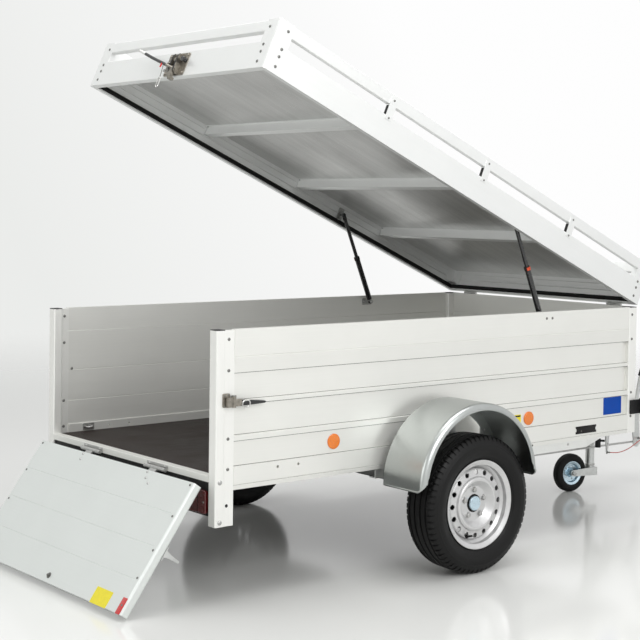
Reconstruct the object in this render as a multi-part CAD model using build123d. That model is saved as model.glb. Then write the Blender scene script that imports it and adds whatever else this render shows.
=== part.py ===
"""Lidded box trailer: one braked axle, a bent V drawbar, an overrun coupling and a jockey wheel.

Drawn in millimetres in the road frame: x = 0 at the rear face of the box and forward, y to the left,
z = 0 on the ground. Every piece is then moved so that the origin is the centre of the tow ball.
The lid is drawn closed and turned open on its gas struts. The tailgate is drawn closed and let down.
Pieces that come in pairs are drawn on the right-hand side and mirrored.
"""
import os
from math import atan, atan2, cos, degrees, hypot, pi, radians, sin, tan

from build123d import *

# ---- box ----
BOX_LENGTH = 2430
BOX_WIDTH = 1300
WALL = 25
WALL_TOP = 1034
SILL_BOTTOM = 430
SILL_HEIGHT = 89
SILL_STEP = 6
BAND_HEIGHT = 164
BEAD_DROP = 104
BEAD_SLOPE = 3
BAND_STEP = 3
PLANK_RECESS = 8
RIB_RECESS = 1.5
RIBS = ((0.682, 13), (0.298, 19))
JOINT_GROOVE = 1.5
FLOOR_TOP = 482
FLOOR_THICK = 12
EDGE_LIP = 4
EDGE_WIDTH = 40
EDGE_HEIGHT = 24
CROSS_COUNT = 5
CROSS_WIDTH = 50
CROSS_SHEET = 3
CROSS_FIRST = 70
CROSS_LAST_BACK = 90
LEDGE = 30
LEDGE_THICK = 6
LASHING_HOLE_R = 5.5
LASHING_HOLE_X = (288, 388)
LASHING_RING_X = (180, 1215, 2250)

# ---- corner posts ----
POST_DEPTH = 47
POST_ROUND = 5
REAR_POST_TUBE = 40
REAR_POST_WIDTH = 82
REAR_POST_BOTTOM = 298
FRONT_POST_WIDTH = 56
FLANGE_RECESS = 1.5
CAP = 3
POCKET = 34
POCKET_DEPTH = 21

# ---- wheels ----
AXLE_BACK = 76
WHEEL_R = 284
WHEEL_GAP = 87.5
TYRE_WIDTH = 175
RIM_WIDTH = 144
RIM_SEAT_R = 165
RIM_FLANGE = 17.5
RIM_SHEET = 4
HUB_FACE = 30
HUB_BORE_R = 35
HUB_NOSE_R = 29.5
STUD_COUNT = 5
STUD_CIRCLE_R = 56
STUD_HOLE_R = 7.5
VENT_COUNT = 16
VENT_R = 11
VENT_CIRCLE_R = 131
DRUM_R = 112
AXLE_R = 20
SHAFT_GAP = 0.05

# ---- axle ----
SWING_ARM = 140
AXLE_TUBE_Z = 300
AXLE_FLAT = 80
AXLE_END_GAP = 35
BACKPLATE = 6
BRAKE_GAP = 6
BRAKE_ROD_Z = 234

# ---- drawbar ----
RAIL_INSET = 190
RAIL_WIDTH = 40
RAIL_HEIGHT = 80
RAIL_SHEET = 5
RAIL_TAIL = 930
BEND_BACK = 160
HEAD_AHEAD = 620
HEAD_LENGTH = 170
HEAD_HALF = 62
BALL_AHEAD = 1170
BALL_Z = 400
BALL_R = 25
TUBE_R = 25
TUBE_Z = 418
GAITER_TURNS = 9
GAITER_PITCH = 19
CABLE_R = 2.2

# ---- jockey wheel ----
JOCKEY_AHEAD = 430
JOCKEY_R = 100
JOCKEY_WIDTH = 50
JOCKEY_TRAIL = 139
JOCKEY_YAW = -8.7
JOCKEY_TUBE_R = 24
JOCKEY_TOP = 720
JOCKEY_FORK_TOP = 122
JOCKEY_PIN_R = 10
JOCKEY_AXLE_R = 8
JOCKEY_PLATE = 5
JOCKEY_SIDE_GAP = 6

# ---- mudguards ----
GUARD_BACK = 24
GUARD_RISE = 91
GUARD_ROOM = 46
GUARD_GAP = 47
GUARD_WIDTH = 237
GUARD_SHOULDER = 24
GUARD_SHEET = 2
GUARD_FLANGE = 45
GUARD_CORNER = 52
GUARD_CORNER_EASE = 1.5

# ---- tailgate ----
GATE_AXIS_X = -12
GATE_AXIS_Z = 466.5
GATE_SIDE_GAP = 5
GATE_RISE = 27
GATE_TOP_GAP = 4
GATE_INNER_X = 23
GATE_THICK = 25
GATE_EDGE_THICK = 40
GATE_EDGE_WIDTH = 34
GATE_EDGE_ROUND = 10
GATE_OPEN = 144.5
GATE_HINGE_INSET = 399
GATE_HINGE_WIDTH = 150
GATE_PIN_R = 4
GATE_KNUCKLE_R = 8
GATE_KNUCKLE_HALF = 24
STRIKER_RISE = 298

# ---- lid ----
LID_AXIS_AHEAD = 8
LID_AXIS_RISE = 3
LID_OPEN = 23.6
LID_GAP = 5
LID_OVERHANG = 5
LID_REAR = 15
LID_WALL = 25
LID_PANEL = 112
LID_HEIGHT = 212
LID_RAIL_HEIGHT = 48
LID_RAIL_DEPTH = 25
LID_POST = 78
LID_POST_ROUND = 9
BAR_COUNT = 3
BAR_FIRST = 610
BAR_PITCH = 600
BAR_WIDTH = 46
BAR_HEIGHT = 42
BAR_SHEET = 3
LID_SHEET = 3
LID_SHEET_LEDGE = 12
LID_HINGE_INSET = 150
LID_HINGE_WIDTH = 90
LID_KNUCKLE_R = 6
LID_PIN_R = 3
LID_KNUCKLE_HALF = 14

# ---- gas struts ----
STRUT_INSET = 52
STRUT_LOW_X = 1808
STRUT_LOW_DROP = 30
STRUT_HIGH_S = 914
STRUT_HIGH_H = 52
BARREL_R = 13
ROD_R = 9
BARREL_LENGTH = 250
STRUT_PIN_R = 4
EYE_R = 10
EYE_HALF = 5

# ---- places worked out from the sizes ----
TOUCH = 0.01
HALF = BOX_WIDTH / 2
POST_FACE = HALF - POST_DEPTH
SILL_TOP = SILL_BOTTOM + SILL_HEIGHT
BAND_BOTTOM = WALL_TOP - BAND_HEIGHT
FLOOR_UNDER = FLOOR_TOP - FLOOR_THICK
AXLE_X = BOX_LENGTH / 2 - AXLE_BACK
TRACK_HALF = HALF + WHEEL_GAP + TYRE_WIDTH / 2
RAIL_TOP = SILL_BOTTOM
RAIL_BOTTOM = RAIL_TOP - RAIL_HEIGHT
RAIL_Y = HALF - RAIL_INSET
BEND_X = BOX_LENGTH - BEND_BACK
HEAD_X = BOX_LENGTH + HEAD_AHEAD
HEAD_END = HEAD_X + HEAD_LENGTH
BALL_X = BOX_LENGTH + BALL_AHEAD
JOCKEY_X = BOX_LENGTH + JOCKEY_AHEAD
GAITER_START = HEAD_END + 20
GAITER_END = GAITER_START + GAITER_TURNS * GAITER_PITCH
TUBE_END = GAITER_END + 60
LID_HALF = HALF + LID_OVERHANG
LID_AXIS_X = BOX_LENGTH + LID_AXIS_AHEAD
LID_AXIS_Z = WALL_TOP + LID_AXIS_RISE
LID_BOTTOM = WALL_TOP + LID_GAP
STRUT_Y = HALF - STRUT_INSET
STRUT_LOW_Z = WALL_TOP - STRUT_LOW_DROP
ARM_SLOPE = atan2(RAIL_Y - HEAD_HALF, HEAD_X - BEND_X)
parts = {}


# ---- drawing helpers ----
def block(x0, x1, y0, y1, z0, z1):
    return Pos(x0, y0, z0) * Box(x1 - x0, y1 - y0, z1 - z0, align=(Align.MIN, Align.MIN, Align.MIN))


def outline(points):
    return make_face(Polyline(*points, close=True))


def along_x(face, x0, x1):
    """Extrude a face drawn in (y, z) from x0 to x1."""
    return extrude(Plane.YZ.offset(x0) * face, amount=x1 - x0)


def along_y(face, y0, y1):
    """Extrude a face drawn in (x, z) from y0 to y1."""
    return extrude(Plane.XZ.offset(-y1) * face, amount=y1 - y0)


def along_z(face, z0, z1):
    return extrude(Plane.XY.offset(z0) * face, amount=z1 - z0)


def rod_x(y, z, r, x0, x1):
    return along_x(Pos(y, z) * Circle(r), x0, x1)


def rod_y(x, z, r, y0, y1):
    return along_y(Pos(x, z) * Circle(r), y0, y1)


def rod_z(x, y, r, z0, z1):
    return along_z(Pos(x, y) * Circle(r), z0, z1)


def bar_between(start, end, section):
    """A straight bar of the given section from one point to another."""
    run = Vector(*end) - Vector(*start)
    plane = Plane(origin=Vector(*start), z_dir=run.normalized())
    return extrude(plane * section, amount=run.length)


def bent_rod(points, bend, r):
    """A round bar along straight runs with a bend of one radius at each corner."""
    path = FilletPolyline(*points, radius=bend)
    return sweep(Plane(origin=path @ 0, z_dir=path % 0) * Circle(r), path=path)


def spin(face, x, z):
    """Revolve a face drawn in (y, radius) round the cross axis at (x, z)."""
    placed = Plane((x, 0, z), x_dir=(0, 1, 0), z_dir=(1, 0, 0)) * face
    return revolve(placed, axis=Axis((x, 0, z), (0, 1, 0)), revolution_arc=360)


def left_of(shape):
    return mirror(shape, about=Plane.XZ)


def both(shape):
    return [shape, left_of(shape)]


def rounded(shape, axis, radius):
    """Round the edges that run along an axis."""
    return fillet(shape.edges().filter_by(axis), radius)


def turn_y(shape, x, z, angle):
    """Turn a shape about the cross axis at (x, z); positive lifts what lies behind it."""
    return Pos(x, 0, z) * Rot(0, angle, 0) * Pos(-x, 0, -z) * shape


def ribbon(path, near, far):
    """Flat outline that follows a bent path between two sideways offsets, mitred at its bends."""
    rims = []
    for offset in (near, far):
        rim = []
        for i, (x, y) in enumerate(path):
            runs = [(path[j + 1][0] - path[j][0], path[j + 1][1] - path[j][1])
                    for j in (i - 1, i) if 0 <= j < len(path) - 1]
            turns = [atan2(dy, dx) for dx, dy in runs]
            mid = sum(turns) / len(turns)
            reach = offset / cos((turns[-1] - turns[0]) / 2)
            rim.append((x - reach * sin(mid), y + reach * cos(mid)))
        rims.append(rim)
    return outline(rims[0] + rims[1][::-1])


def keep(name, solids):
    parts[name] = solids if isinstance(solids, list) else [solids]


# ---- box walls: each profile is (depth from the outer face, z) ----
def rib_edges():
    """Lower and upper z of each standing rib, the higher rib first."""
    zone = BAND_BOTTOM - SILL_TOP
    return [(SILL_TOP + share * zone - high / 2, SILL_TOP + share * zone + high / 2) for share, high in RIBS]


def band_profile():
    """Top rail: a bead outside, and inside a step up to its thinner upper part."""
    bead = WALL_TOP - BEAD_DROP
    return [(0, WALL_TOP), (0, bead + 2), (1.5, bead), (0, bead - 2), (BEAD_SLOPE, BAND_BOTTOM),
            (WALL, BAND_BOTTOM), (WALL, bead - 1), (WALL - BAND_STEP, bead + 2), (WALL - BAND_STEP, WALL_TOP)]


def plank_profile():
    """Three recessed planks between two standing ribs, with a groove inside at each rib."""
    points = [(PLANK_RECESS, BAND_BOTTOM)]
    for low, high in rib_edges():
        points += [(PLANK_RECESS, high + 3), (RIB_RECESS, high), (RIB_RECESS, low), (PLANK_RECESS, low)]
    points += [(PLANK_RECESS, SILL_TOP), (WALL, SILL_TOP)]
    for low, high in rib_edges()[::-1]:
        mid = (low + high) / 2
        points += [(WALL, mid - 2), (WALL - JOINT_GROOVE, mid), (WALL, mid + 2)]
    return points + [(WALL, BAND_BOTTOM)]


def sill_profile():
    """Floor-edge profile: it stands a little into the load space, and its ledge carries the floor."""
    inner = WALL + SILL_STEP
    return [(0, SILL_TOP), (0, SILL_BOTTOM + 21), (1.5, SILL_BOTTOM + 19), (0, SILL_BOTTOM + 17),
            (2, SILL_BOTTOM), (WALL, SILL_BOTTOM), (WALL, FLOOR_UNDER - LEDGE_THICK),
            (WALL + LEDGE, FLOOR_UNDER - LEDGE_THICK), (WALL + LEDGE, FLOOR_UNDER), (inner, FLOOR_UNDER),
            (inner, SILL_TOP - 2), (inner - 2, SILL_TOP)]


def side_wall(profile, x0, x1):
    return along_x(outline([(-HALF + d, z) for d, z in profile]), x0, x1)


def front_wall(profile):
    return along_y(outline([(BOX_LENGTH - d, z) for d, z in profile]), -POST_FACE, POST_FACE)


def box_walls():
    x0 = REAR_POST_WIDTH
    x1 = BOX_LENGTH - FRONT_POST_WIDTH
    planks = side_wall(plank_profile(), x0, x1)
    (rib_a, rib_b), (rib_c, rib_d) = rib_edges()
    for low, high in ((rib_b + 3, BAND_BOTTOM), (rib_d + 3, rib_a), (SILL_TOP, rib_c)):
        planks -= block(x1 - POCKET, x1, -HALF, -HALF + POCKET_DEPTH, low, high)
    keep("wall_planks", both(planks) + [front_wall(plank_profile())])
    keep("top_rails", both(side_wall(band_profile(), x0, x1)) + [front_wall(band_profile())])
    sill = side_wall(sill_profile(), x0, x1)
    for x in LASHING_HOLE_X:
        sill -= rod_y(x, (FLOOR_TOP + SILL_TOP) / 2 - 4, LASHING_HOLE_R, -HALF - 1, -HALF + WALL + SILL_STEP + 1)
    top = FLOOR_TOP + EDGE_LIP
    rear_edge = [(0, top - 2), (0, top - EDGE_HEIGHT), (EDGE_WIDTH, top - EDGE_HEIGHT),
                 (EDGE_WIDTH, FLOOR_TOP + 1), (EDGE_WIDTH - 6, top), (2, top)]
    keep("floor_frame", both(sill) + [front_wall(sill_profile()),
                                      along_y(outline(rear_edge), -POST_FACE, POST_FACE)])


def corner_posts():
    top = WALL_TOP - CAP
    tube = along_z(Pos(REAR_POST_TUBE / 2, -HALF + POST_DEPTH / 2)
                   * RectangleRounded(REAR_POST_TUBE, POST_DEPTH, POST_ROUND), REAR_POST_BOTTOM, top)
    flange = block(REAR_POST_TUBE - POST_ROUND, REAR_POST_WIDTH, -HALF + FLANGE_RECESS, -HALF + WALL,
                   REAR_POST_BOTTOM, top)
    rear = tube + flange
    front = along_z(Pos(BOX_LENGTH - FRONT_POST_WIDTH / 2, -HALF + POST_DEPTH / 2)
                    * RectangleRounded(FRONT_POST_WIDTH, POST_DEPTH, POST_ROUND), SILL_BOTTOM, top)
    keep("corner_posts", both(rear) + both(front))
    rear_cap = along_z(Pos(REAR_POST_TUBE / 2, -HALF + POST_DEPTH / 2)
                       * RectangleRounded(REAR_POST_TUBE, POST_DEPTH, POST_ROUND), top + TOUCH, WALL_TOP)
    front_cap = along_z(Pos(BOX_LENGTH - FRONT_POST_WIDTH / 2, -HALF + POST_DEPTH / 2)
                        * RectangleRounded(FRONT_POST_WIDTH, POST_DEPTH, POST_ROUND), top + TOUCH, WALL_TOP)
    keep("post_caps", both(rear_cap) + both(front_cap))


def floor():
    half = HALF - WALL
    edge = half - SILL_STEP
    board = block(EDGE_WIDTH, BOX_LENGTH - WALL - SILL_STEP, -edge, edge, FLOOR_UNDER, FLOOR_TOP)
    corner = block(BOX_LENGTH - FRONT_POST_WIDTH, BOX_LENGTH, -HALF, -POST_FACE, FLOOR_UNDER, FLOOR_TOP)
    keep("floor_board", board - corner - left_of(corner))
    step = (BOX_LENGTH - CROSS_LAST_BACK - CROSS_FIRST) / (CROSS_COUNT - 1)
    members = []
    for i in range(CROSS_COUNT):
        x = CROSS_FIRST + i * step
        x0, x1 = x - CROSS_WIDTH / 2, x + CROSS_WIDTH / 2
        channel = block(x0, x1, -half, half, RAIL_TOP, FLOOR_UNDER)
        channel -= block(x0 + CROSS_SHEET, x1, -half, half, RAIL_TOP + CROSS_SHEET, FLOOR_UNDER - CROSS_SHEET)
        notch = block(x0, x1, -half, -half + LEDGE, FLOOR_UNDER - LEDGE_THICK, FLOOR_UNDER)
        members.append(channel - notch - left_of(notch))
    keep("cross_members", members)


def lashing_rings():
    """A plate on the sill's inner step with a half ring standing out of it."""
    face = -HALF + WALL + SILL_STEP
    z = (FLOOR_TOP + SILL_TOP) / 2
    rings = []
    for x in LASHING_RING_X:
        plate = along_y(Pos(x, z) * RectangleRounded(56, 30, 6), face + TOUCH, face + 4)
        loop = FilletPolyline((x - 16, face + 3, z), (x - 16, face + 26, z), (x + 16, face + 26, z),
                              (x + 16, face + 3, z), radius=13)
        rings += both(plate + sweep(Plane(origin=loop @ 0, z_dir=loop % 0) * Circle(4), path=loop))
    keep("lashing_rings", rings)


# ---- drawbar and coupling ----
def arm_y(x):
    """Centre line of the right-hand drawbar arm where it runs in towards the head."""
    return -HEAD_HALF - tan(ARM_SLOPE) * (HEAD_X - x)


def drawbar():
    path = [(RAIL_TAIL, -RAIL_Y), (BEND_X, -RAIL_Y), (HEAD_X, -HEAD_HALF), (HEAD_END, -HEAD_HALF)]
    side = RAIL_WIDTH / 2
    arm = along_z(ribbon(path, -side, side), RAIL_BOTTOM, RAIL_TOP)
    arm -= along_z(ribbon(path, -side + RAIL_SHEET, side + 1), RAIL_BOTTOM + RAIL_SHEET, RAIL_TOP - RAIL_SHEET)
    arm -= rod_y(BEND_X - 130, RAIL_TOP - 55, 6, -RAIL_Y - side - 1, -RAIL_Y - side + RAIL_SHEET + 1)
    keep("drawbar_arms", both(arm))


def jockey_clamp():
    """Cross plate between the arms with the collar that the jockey tube slides in."""
    x0, x1 = JOCKEY_X - 40, JOCKEY_X + 40
    z0 = RAIL_BOTTOM + RAIL_SHEET
    inset = RAIL_WIDTH / 2 / cos(ARM_SLOPE)
    near, far = (-arm_y(x) - inset for x in (x1, x0))
    plate = along_z(outline([(x0, -far), (x1, -near), (x1, near), (x0, far)]), z0, z0 + 6)
    collar = rod_z(JOCKEY_X, 0, JOCKEY_TUBE_R + 7, z0, z0 + 80)
    collar += block(JOCKEY_X + 20, JOCKEY_X + 62, -11, 11, z0 + 14, z0 + 72)
    collar -= rod_z(JOCKEY_X, 0, JOCKEY_TUBE_R + SHAFT_GAP, z0 - 1, z0 + 81)
    collar -= block(JOCKEY_X + 18, JOCKEY_X + 63, -2, 2, z0 + 7, z0 + 81)
    bore = rod_z(JOCKEY_X, 0, JOCKEY_TUBE_R + SHAFT_GAP, z0 - 1, z0 + 81)
    x, z = JOCKEY_X + 50, z0 + 44
    handle = rod_y(x, z, 5, -70, -10) + rod_z(x, -70, 7, z - 45, z + 45)
    keep("jockey_clamp", plate - bore + collar + handle)


def coupling():
    half = HEAD_HALF - RAIL_WIDTH / 2
    section = Plane((HEAD_X - 20, 0, TUBE_Z - 6), x_dir=(0, 1, 0), z_dir=(1, 0, 0))
    body = extrude(section * RectangleRounded(2 * half, 98, 14), amount=HEAD_LENGTH + 20)
    nose = [Plane((HEAD_END - 1, 0, TUBE_Z), x_dir=(0, 1, 0), z_dir=(1, 0, 0)) * Circle(r) for r in (40, TUBE_R)]
    body += extrude(nose[0], amount=GAITER_START - HEAD_END + 1, taper=8)
    body += extrude(nose[1], amount=TUBE_END - HEAD_END)
    body += block(HEAD_X + 20, HEAD_END - 20, -half + 12, half - 12, TUBE_Z + 40, TUBE_Z + 54)
    keep("overrun_device", body)
    z0 = TUBE_R + 0.3
    points = [(GAITER_START + TOUCH, z0), (GAITER_START + TOUCH, 36)]
    for i in range(GAITER_TURNS):
        x = GAITER_START + i * GAITER_PITCH
        points += [(x + GAITER_PITCH * 0.35, 36), (x + GAITER_PITCH * 0.75, 30)]
    points += [(GAITER_END, 34), (GAITER_END, z0)]
    face = Plane.XZ * outline([(x, TUBE_Z + r) for x, r in points])
    keep("gaiter", revolve(face, axis=Axis((0, 0, TUBE_Z), (1, 0, 0)), revolution_arc=360))
    start = GAITER_END + TOUCH
    stations = [(start, TUBE_Z, 66, 66, 30), (start + 60, TUBE_Z, 66, 66, 24),
                (BALL_X - 10, BALL_Z + 14, 80, 60, 24)]
    sections = [Plane((x, 0, z), x_dir=(0, 1, 0), z_dir=(1, 0, 0)) * RectangleRounded(w, h, r)
                for x, z, w, h, r in stations]
    head = loft(sections) + Pos(BALL_X, 0, BALL_Z + 4) * Sphere(BALL_R + 13)
    head -= block(start, BALL_X + 100, -100, 100, BALL_Z - 60, BALL_Z - 12)
    head -= rod_x(0, TUBE_Z, TUBE_R + 0.3, start - 1, TUBE_END + 0.3)
    head -= Pos(BALL_X, 0, BALL_Z) * Sphere(BALL_R + 0.5)
    head -= rod_z(BALL_X, 0, BALL_R + 0.5, BALL_Z - 40, BALL_Z)
    keep("coupling_head", head)
    top = BALL_Z + 4 + BALL_R + 13
    grip = [(BALL_X - 8, top - 3), (BALL_X - 22, top + 22), (BALL_X - 130, top + 52), (BALL_X - 150, top + 44)]
    handle = bent_rod([(x, 0, z) for x, z in grip], 14, 9)
    keep("coupling_handle", handle - head)


def handbrake():
    """Bracket on the right-hand arm, upright lever, and the lower lever that pulls the brake rod."""
    face = -HEAD_HALF - RAIL_WIDTH / 2
    y0, y1 = face - 14, face - 8
    x, z = HEAD_X + 60, RAIL_TOP - 12
    bracket = along_y(Pos(x, z) * RectangleRounded(110, 70, 12), face - 6, face - TOUCH)
    pivot = rod_y(x, z, 13, y0 - 6, face - 5)
    lower = along_y(make_face([
        Line((x - 34, z + 10), (x - 4, z - 166)), ThreePointArc((x - 4, z - 166), (x + 22, z - 206), (x + 48, z - 166)),
        Line((x + 48, z - 166), (x + 34, z + 10)), ThreePointArc((x + 34, z + 10), (x, z + 34), (x - 34, z + 10))]),
        y0, y1)
    lower -= rod_y(x + 22, z - 178, 7, y0 - 1, y1 + 1)
    lever = bar_between((x + 2, y0 - 3, z + 10), (x + 42, y0 - 3, z + 175), Rectangle(26, 8))
    keep("handbrake_lever", bracket + pivot + lower + lever)
    grip = bar_between((x + 43, y0 - 3, z + 178), (x + 86, y0 - 3, z + 270), RectangleRounded(30, 24, 8))
    keep("handbrake_grip", grip)
    rod_end = (x + 22, y1 + 7, z - 178)
    rod = rod_y(rod_end[0], rod_end[2], 7 - SHAFT_GAP, y0, y1 + 12)
    beam_x = AXLE_X + SWING_ARM + 160
    rod += bar_between(rod_end, (beam_x + 6, 0, BRAKE_ROD_Z), Circle(5))
    rod += block(beam_x, beam_x + 12, -70, 70, BRAKE_ROD_Z - 10, BRAKE_ROD_Z + 10)
    keep("brake_rod", rod)


def cable_plate():
    """Tongue plate under the right-hand arm that the breakaway cable is clipped to, and the plug's holder."""
    x = JOCKEY_X - 45
    turn = -degrees(ARM_SLOPE)
    y = arm_y(x) + RAIL_WIDTH / 2 / cos(ARM_SLOPE)
    z = RAIL_BOTTOM
    top = RAIL_SHEET - TOUCH
    tongue = make_face([Line((-42, top), (-40, -40)), Line((-40, -40), (-12, -128)),
                        ThreePointArc((-12, -128), (0, -136), (12, -128)),
                        Line((12, -128), (40, -40)), Line((40, -40), (42, top)), Line((42, top), (-42, top))])
    plate = along_y(tongue, TOUCH, 6) - rod_y(0, -84, 9, -1, 7)
    place = Pos(x, y, z) * Rot(0, 0, -turn)
    keep("cable_bracket", place * plate)
    holder = rod_z(-44, 42, 15, -97, -52) + rod_z(-44, 42, 11, -52, -44) + block(-50, -38, 6.1, 40, -66, -56)
    keep("plug_holder", place * rounded(holder, Axis.Z, 1))


def breakaway_cable():
    """Thin cable from the brake lever's outer face, slack to the tongue plate's outer face."""
    side = RAIL_WIDTH / 2 / cos(ARM_SLOPE)
    x = JOCKEY_X - 45
    e = (x, arm_y(x) + side, RAIL_BOTTOM - 127)
    out = 30
    near = (e[0] + out * sin(ARM_SLOPE), e[1] - out * cos(ARM_SLOPE), e[2])
    lx, ly, lz = HEAD_X + 96, -HEAD_HALF - RAIL_WIDTH / 2 - 14, RAIL_TOP - 172
    points = [(lx, ly, lz), (lx, ly - 26, lz), (lx - 42, ly - 35, lz - 9), (lx - 94, ly - 44, lz - 24),
              (lx - 150, ly - 56, lz - 35), (lx - 208, ly - 70, lz - 40), (lx - 266, ly - 85, lz - 40), near, e]
    radii, runs = [], [Vector(*b) - Vector(*a) for a, b in zip(points, points[1:])]
    for a, b in zip(runs, runs[1:]):
        radii.append(0.45 * min(a.length, b.length) / tan(radians(a.get_angle(b)) / 2))
    path = FilletPolyline(*points, radius=radii)
    print("cable radii", [round(r) for r in radii], "length", round(path.length))
    keep("breakaway_cable", sweep(Plane(origin=path @ 0, z_dir=path % 0) * Circle(CABLE_R), path=path))


# ---- axle, wheels and mudguards ----
def axle():
    pivot_x = AXLE_X + SWING_ARM
    end = HALF + WHEEL_GAP - AXLE_END_GAP - 12.5
    beam = along_y(Pos(pivot_x, AXLE_TUBE_Z) * RegularPolygon(AXLE_FLAT / 2, 6, major_radius=False), -end, end)
    foot, waist = AXLE_FLAT / 2 + 35, AXLE_FLAT / 2 + 12
    saddle = outline([(pivot_x - foot, RAIL_BOTTOM), (pivot_x - waist, AXLE_TUBE_Z - 10),
                      (pivot_x - 30, AXLE_TUBE_Z - 30), (pivot_x + 30, AXLE_TUBE_Z - 30),
                      (pivot_x + waist, AXLE_TUBE_Z - 10), (pivot_x + foot, RAIL_BOTTOM)])
    for y in (-RAIL_Y, RAIL_Y):
        beam += along_y(saddle, y - RAIL_WIDTH / 2, y - RAIL_WIDTH / 2 + 6)
        beam += along_y(saddle, y + RAIL_WIDTH / 2 - 6, y + RAIL_WIDTH / 2)
    keep("axle_beam", beam)
    drum_edge = HALF + WHEEL_GAP + 8.5
    plate_edge = drum_edge - BRAKE_GAP
    arm = make_face([
        Line((pivot_x - 6, AXLE_TUBE_Z + 44), (AXLE_X - 10, WHEEL_R + 31)),
        ThreePointArc((AXLE_X - 10, WHEEL_R + 31), (AXLE_X - 32, WHEEL_R), (AXLE_X - 10, WHEEL_R - 31)),
        Line((AXLE_X - 10, WHEEL_R - 31), (pivot_x - 6, AXLE_TUBE_Z - 44)),
        ThreePointArc((pivot_x - 6, AXLE_TUBE_Z - 44), (pivot_x + 44, AXLE_TUBE_Z), (pivot_x - 6, AXLE_TUBE_Z + 44))])
    arm = along_y(arm, -plate_edge + 10, -end)
    arm += rod_y(AXLE_X, WHEEL_R, 60, -plate_edge, -plate_edge + 12)
    arm += rod_y(AXLE_X, WHEEL_R, DRUM_R + 4, -plate_edge, -plate_edge + BACKPLATE)
    arm += rod_y(AXLE_X, WHEEL_R, AXLE_R, -TRACK_HALF - HUB_FACE - 4, -plate_edge + 1)
    keep("trailing_arms", both(arm))


def tyre_face(c):
    """Tyre section with its beads on the rim seats, as (y, radius)."""
    w, r = TYRE_WIDTH / 2, WHEEL_R
    bead = RIM_WIDTH / 2 - 10
    seat = RIM_SEAT_R + 2
    mid = seat + 0.5 * (r - seat)
    rim_top = RIM_SEAT_R + RIM_FLANGE + 1.5
    crown = w - 29.5
    right = [((bead, seat), (bead + 4, rim_top)), ((bead + 4, rim_top), (w, mid), (w - 13.5, r - 12)),
             ((w - 13.5, r - 12), (w - 20, r - 4.5), (crown, r - 2))]
    inside = [((bead - 6, rim_top), (w - 12, mid), (w - 25, r - 20))]
    edges = []
    for run in right + inside:
        for sign in (1, -1):
            points = [(c + sign * y, radius) for y, radius in run]
            edges.append(Line(*points) if len(points) == 2 else ThreePointArc(*points))
    edges.append(ThreePointArc((c + crown, r - 2), (c, r), (c - crown, r - 2)))
    edges.append(ThreePointArc((c + w - 25, r - 20), (c, r - 14), (c - w + 25, r - 20)))
    for sign in (1, -1):
        edges.append(Line((c + sign * bead, seat), (c + sign * (bead - 8), seat)))
        edges.append(Line((c + sign * (bead - 8), seat), (c + sign * (bead - 6), rim_top)))
    return make_face(edges)


def rim_face(c):
    """Steel wheel: drop-centre rim and dished disc, as (y, radius); offsets run outboard."""
    lip, s, t = RIM_WIDTH / 2, RIM_SEAT_R, RIM_SHEET
    drop, top, hub = s - 16, s + RIM_FLANGE, HUB_FACE
    tyre_side = [(lip, top - t), (lip, top), (lip - t, top), (lip - 9, s + 1.5), (lip - 26, s), (30, drop),
                 (-8, drop), (-24, s), (9 - lip, s + 1.5), (t - lip, top), (-lip, top), (-lip, top - t)]
    under = [(6 - lip, s - t + 1), (-24, s - t), (-8, drop - t), (20, drop - t), (20, drop - 7.5)]
    disc_back = [(hub + 7, drop - 7.5), (hub + 11, drop - 11), (hub + 13, 122), (hub + 15, 112),
                 (hub + 23, 107), (hub + 26, 103), (hub + 25, 96), (hub + 11, 85), (hub + 3, 77), (hub, 71)]
    disc_front = [(hub, HUB_BORE_R), (hub + t, HUB_BORE_R), (hub + t, 70), (hub + 7, 74), (hub + 15, 82),
                  (hub + 29, 95), (hub + 30, 103), (hub + 27, 109), (hub + 19, 113), (hub + 17, 122),
                  (hub + 15, drop - 9), (hub + 10, drop - t), (30, drop - t)]
    front_under = [(lip - 26, s - t), (lip - 8, s - t + 1.5)]
    return outline([(c - y, r) for y, r in tyre_side + under + disc_back + disc_front + front_under])


def wheel():
    c = -TRACK_HALF
    face = c - HUB_FACE
    tyre = spin(tyre_face(c), AXLE_X, WHEEL_R)
    rim = spin(rim_face(c), AXLE_X, WHEEL_R)
    for i in range(VENT_COUNT):
        a = 2 * pi / VENT_COUNT * i
        x, z = AXLE_X + VENT_CIRCLE_R * cos(a), WHEEL_R + VENT_CIRCLE_R * sin(a)
        rim -= rod_y(x, z, VENT_R, face - 24, face - 7)
    for i in range(STUD_COUNT):
        a = pi / 2 + 2 * pi / STUD_COUNT * i
        x, z = AXLE_X + STUD_CIRCLE_R * cos(a), WHEEL_R + STUD_CIRCLE_R * sin(a)
        rim -= rod_y(x, z, STUD_HOLE_R, face - 10, face + 5)
    inner = -HALF - WHEEL_GAP - 8.5
    bore = AXLE_R + SHAFT_GAP
    seat = face + TOUCH
    hub = [(inner, bore), (inner, DRUM_R), (seat + 22, DRUM_R), (seat + 18, 72), (seat, 68),
           (seat, HUB_BORE_R - 0.2), (seat - 3, HUB_BORE_R - 0.2), (seat - 3, HUB_NOSE_R), (seat - 12, HUB_NOSE_R),
           (seat - 15, HUB_NOSE_R - 5), (seat - 16, 0), (seat - 6, 0), (seat - 6, bore)]
    hub = spin(outline(hub), AXLE_X, WHEEL_R)
    for name, piece in (("tyre", tyre), ("rim", rim), ("hub", hub)):
        keep(name + "_right", piece)
        keep(name + "_left", left_of(piece))


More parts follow.
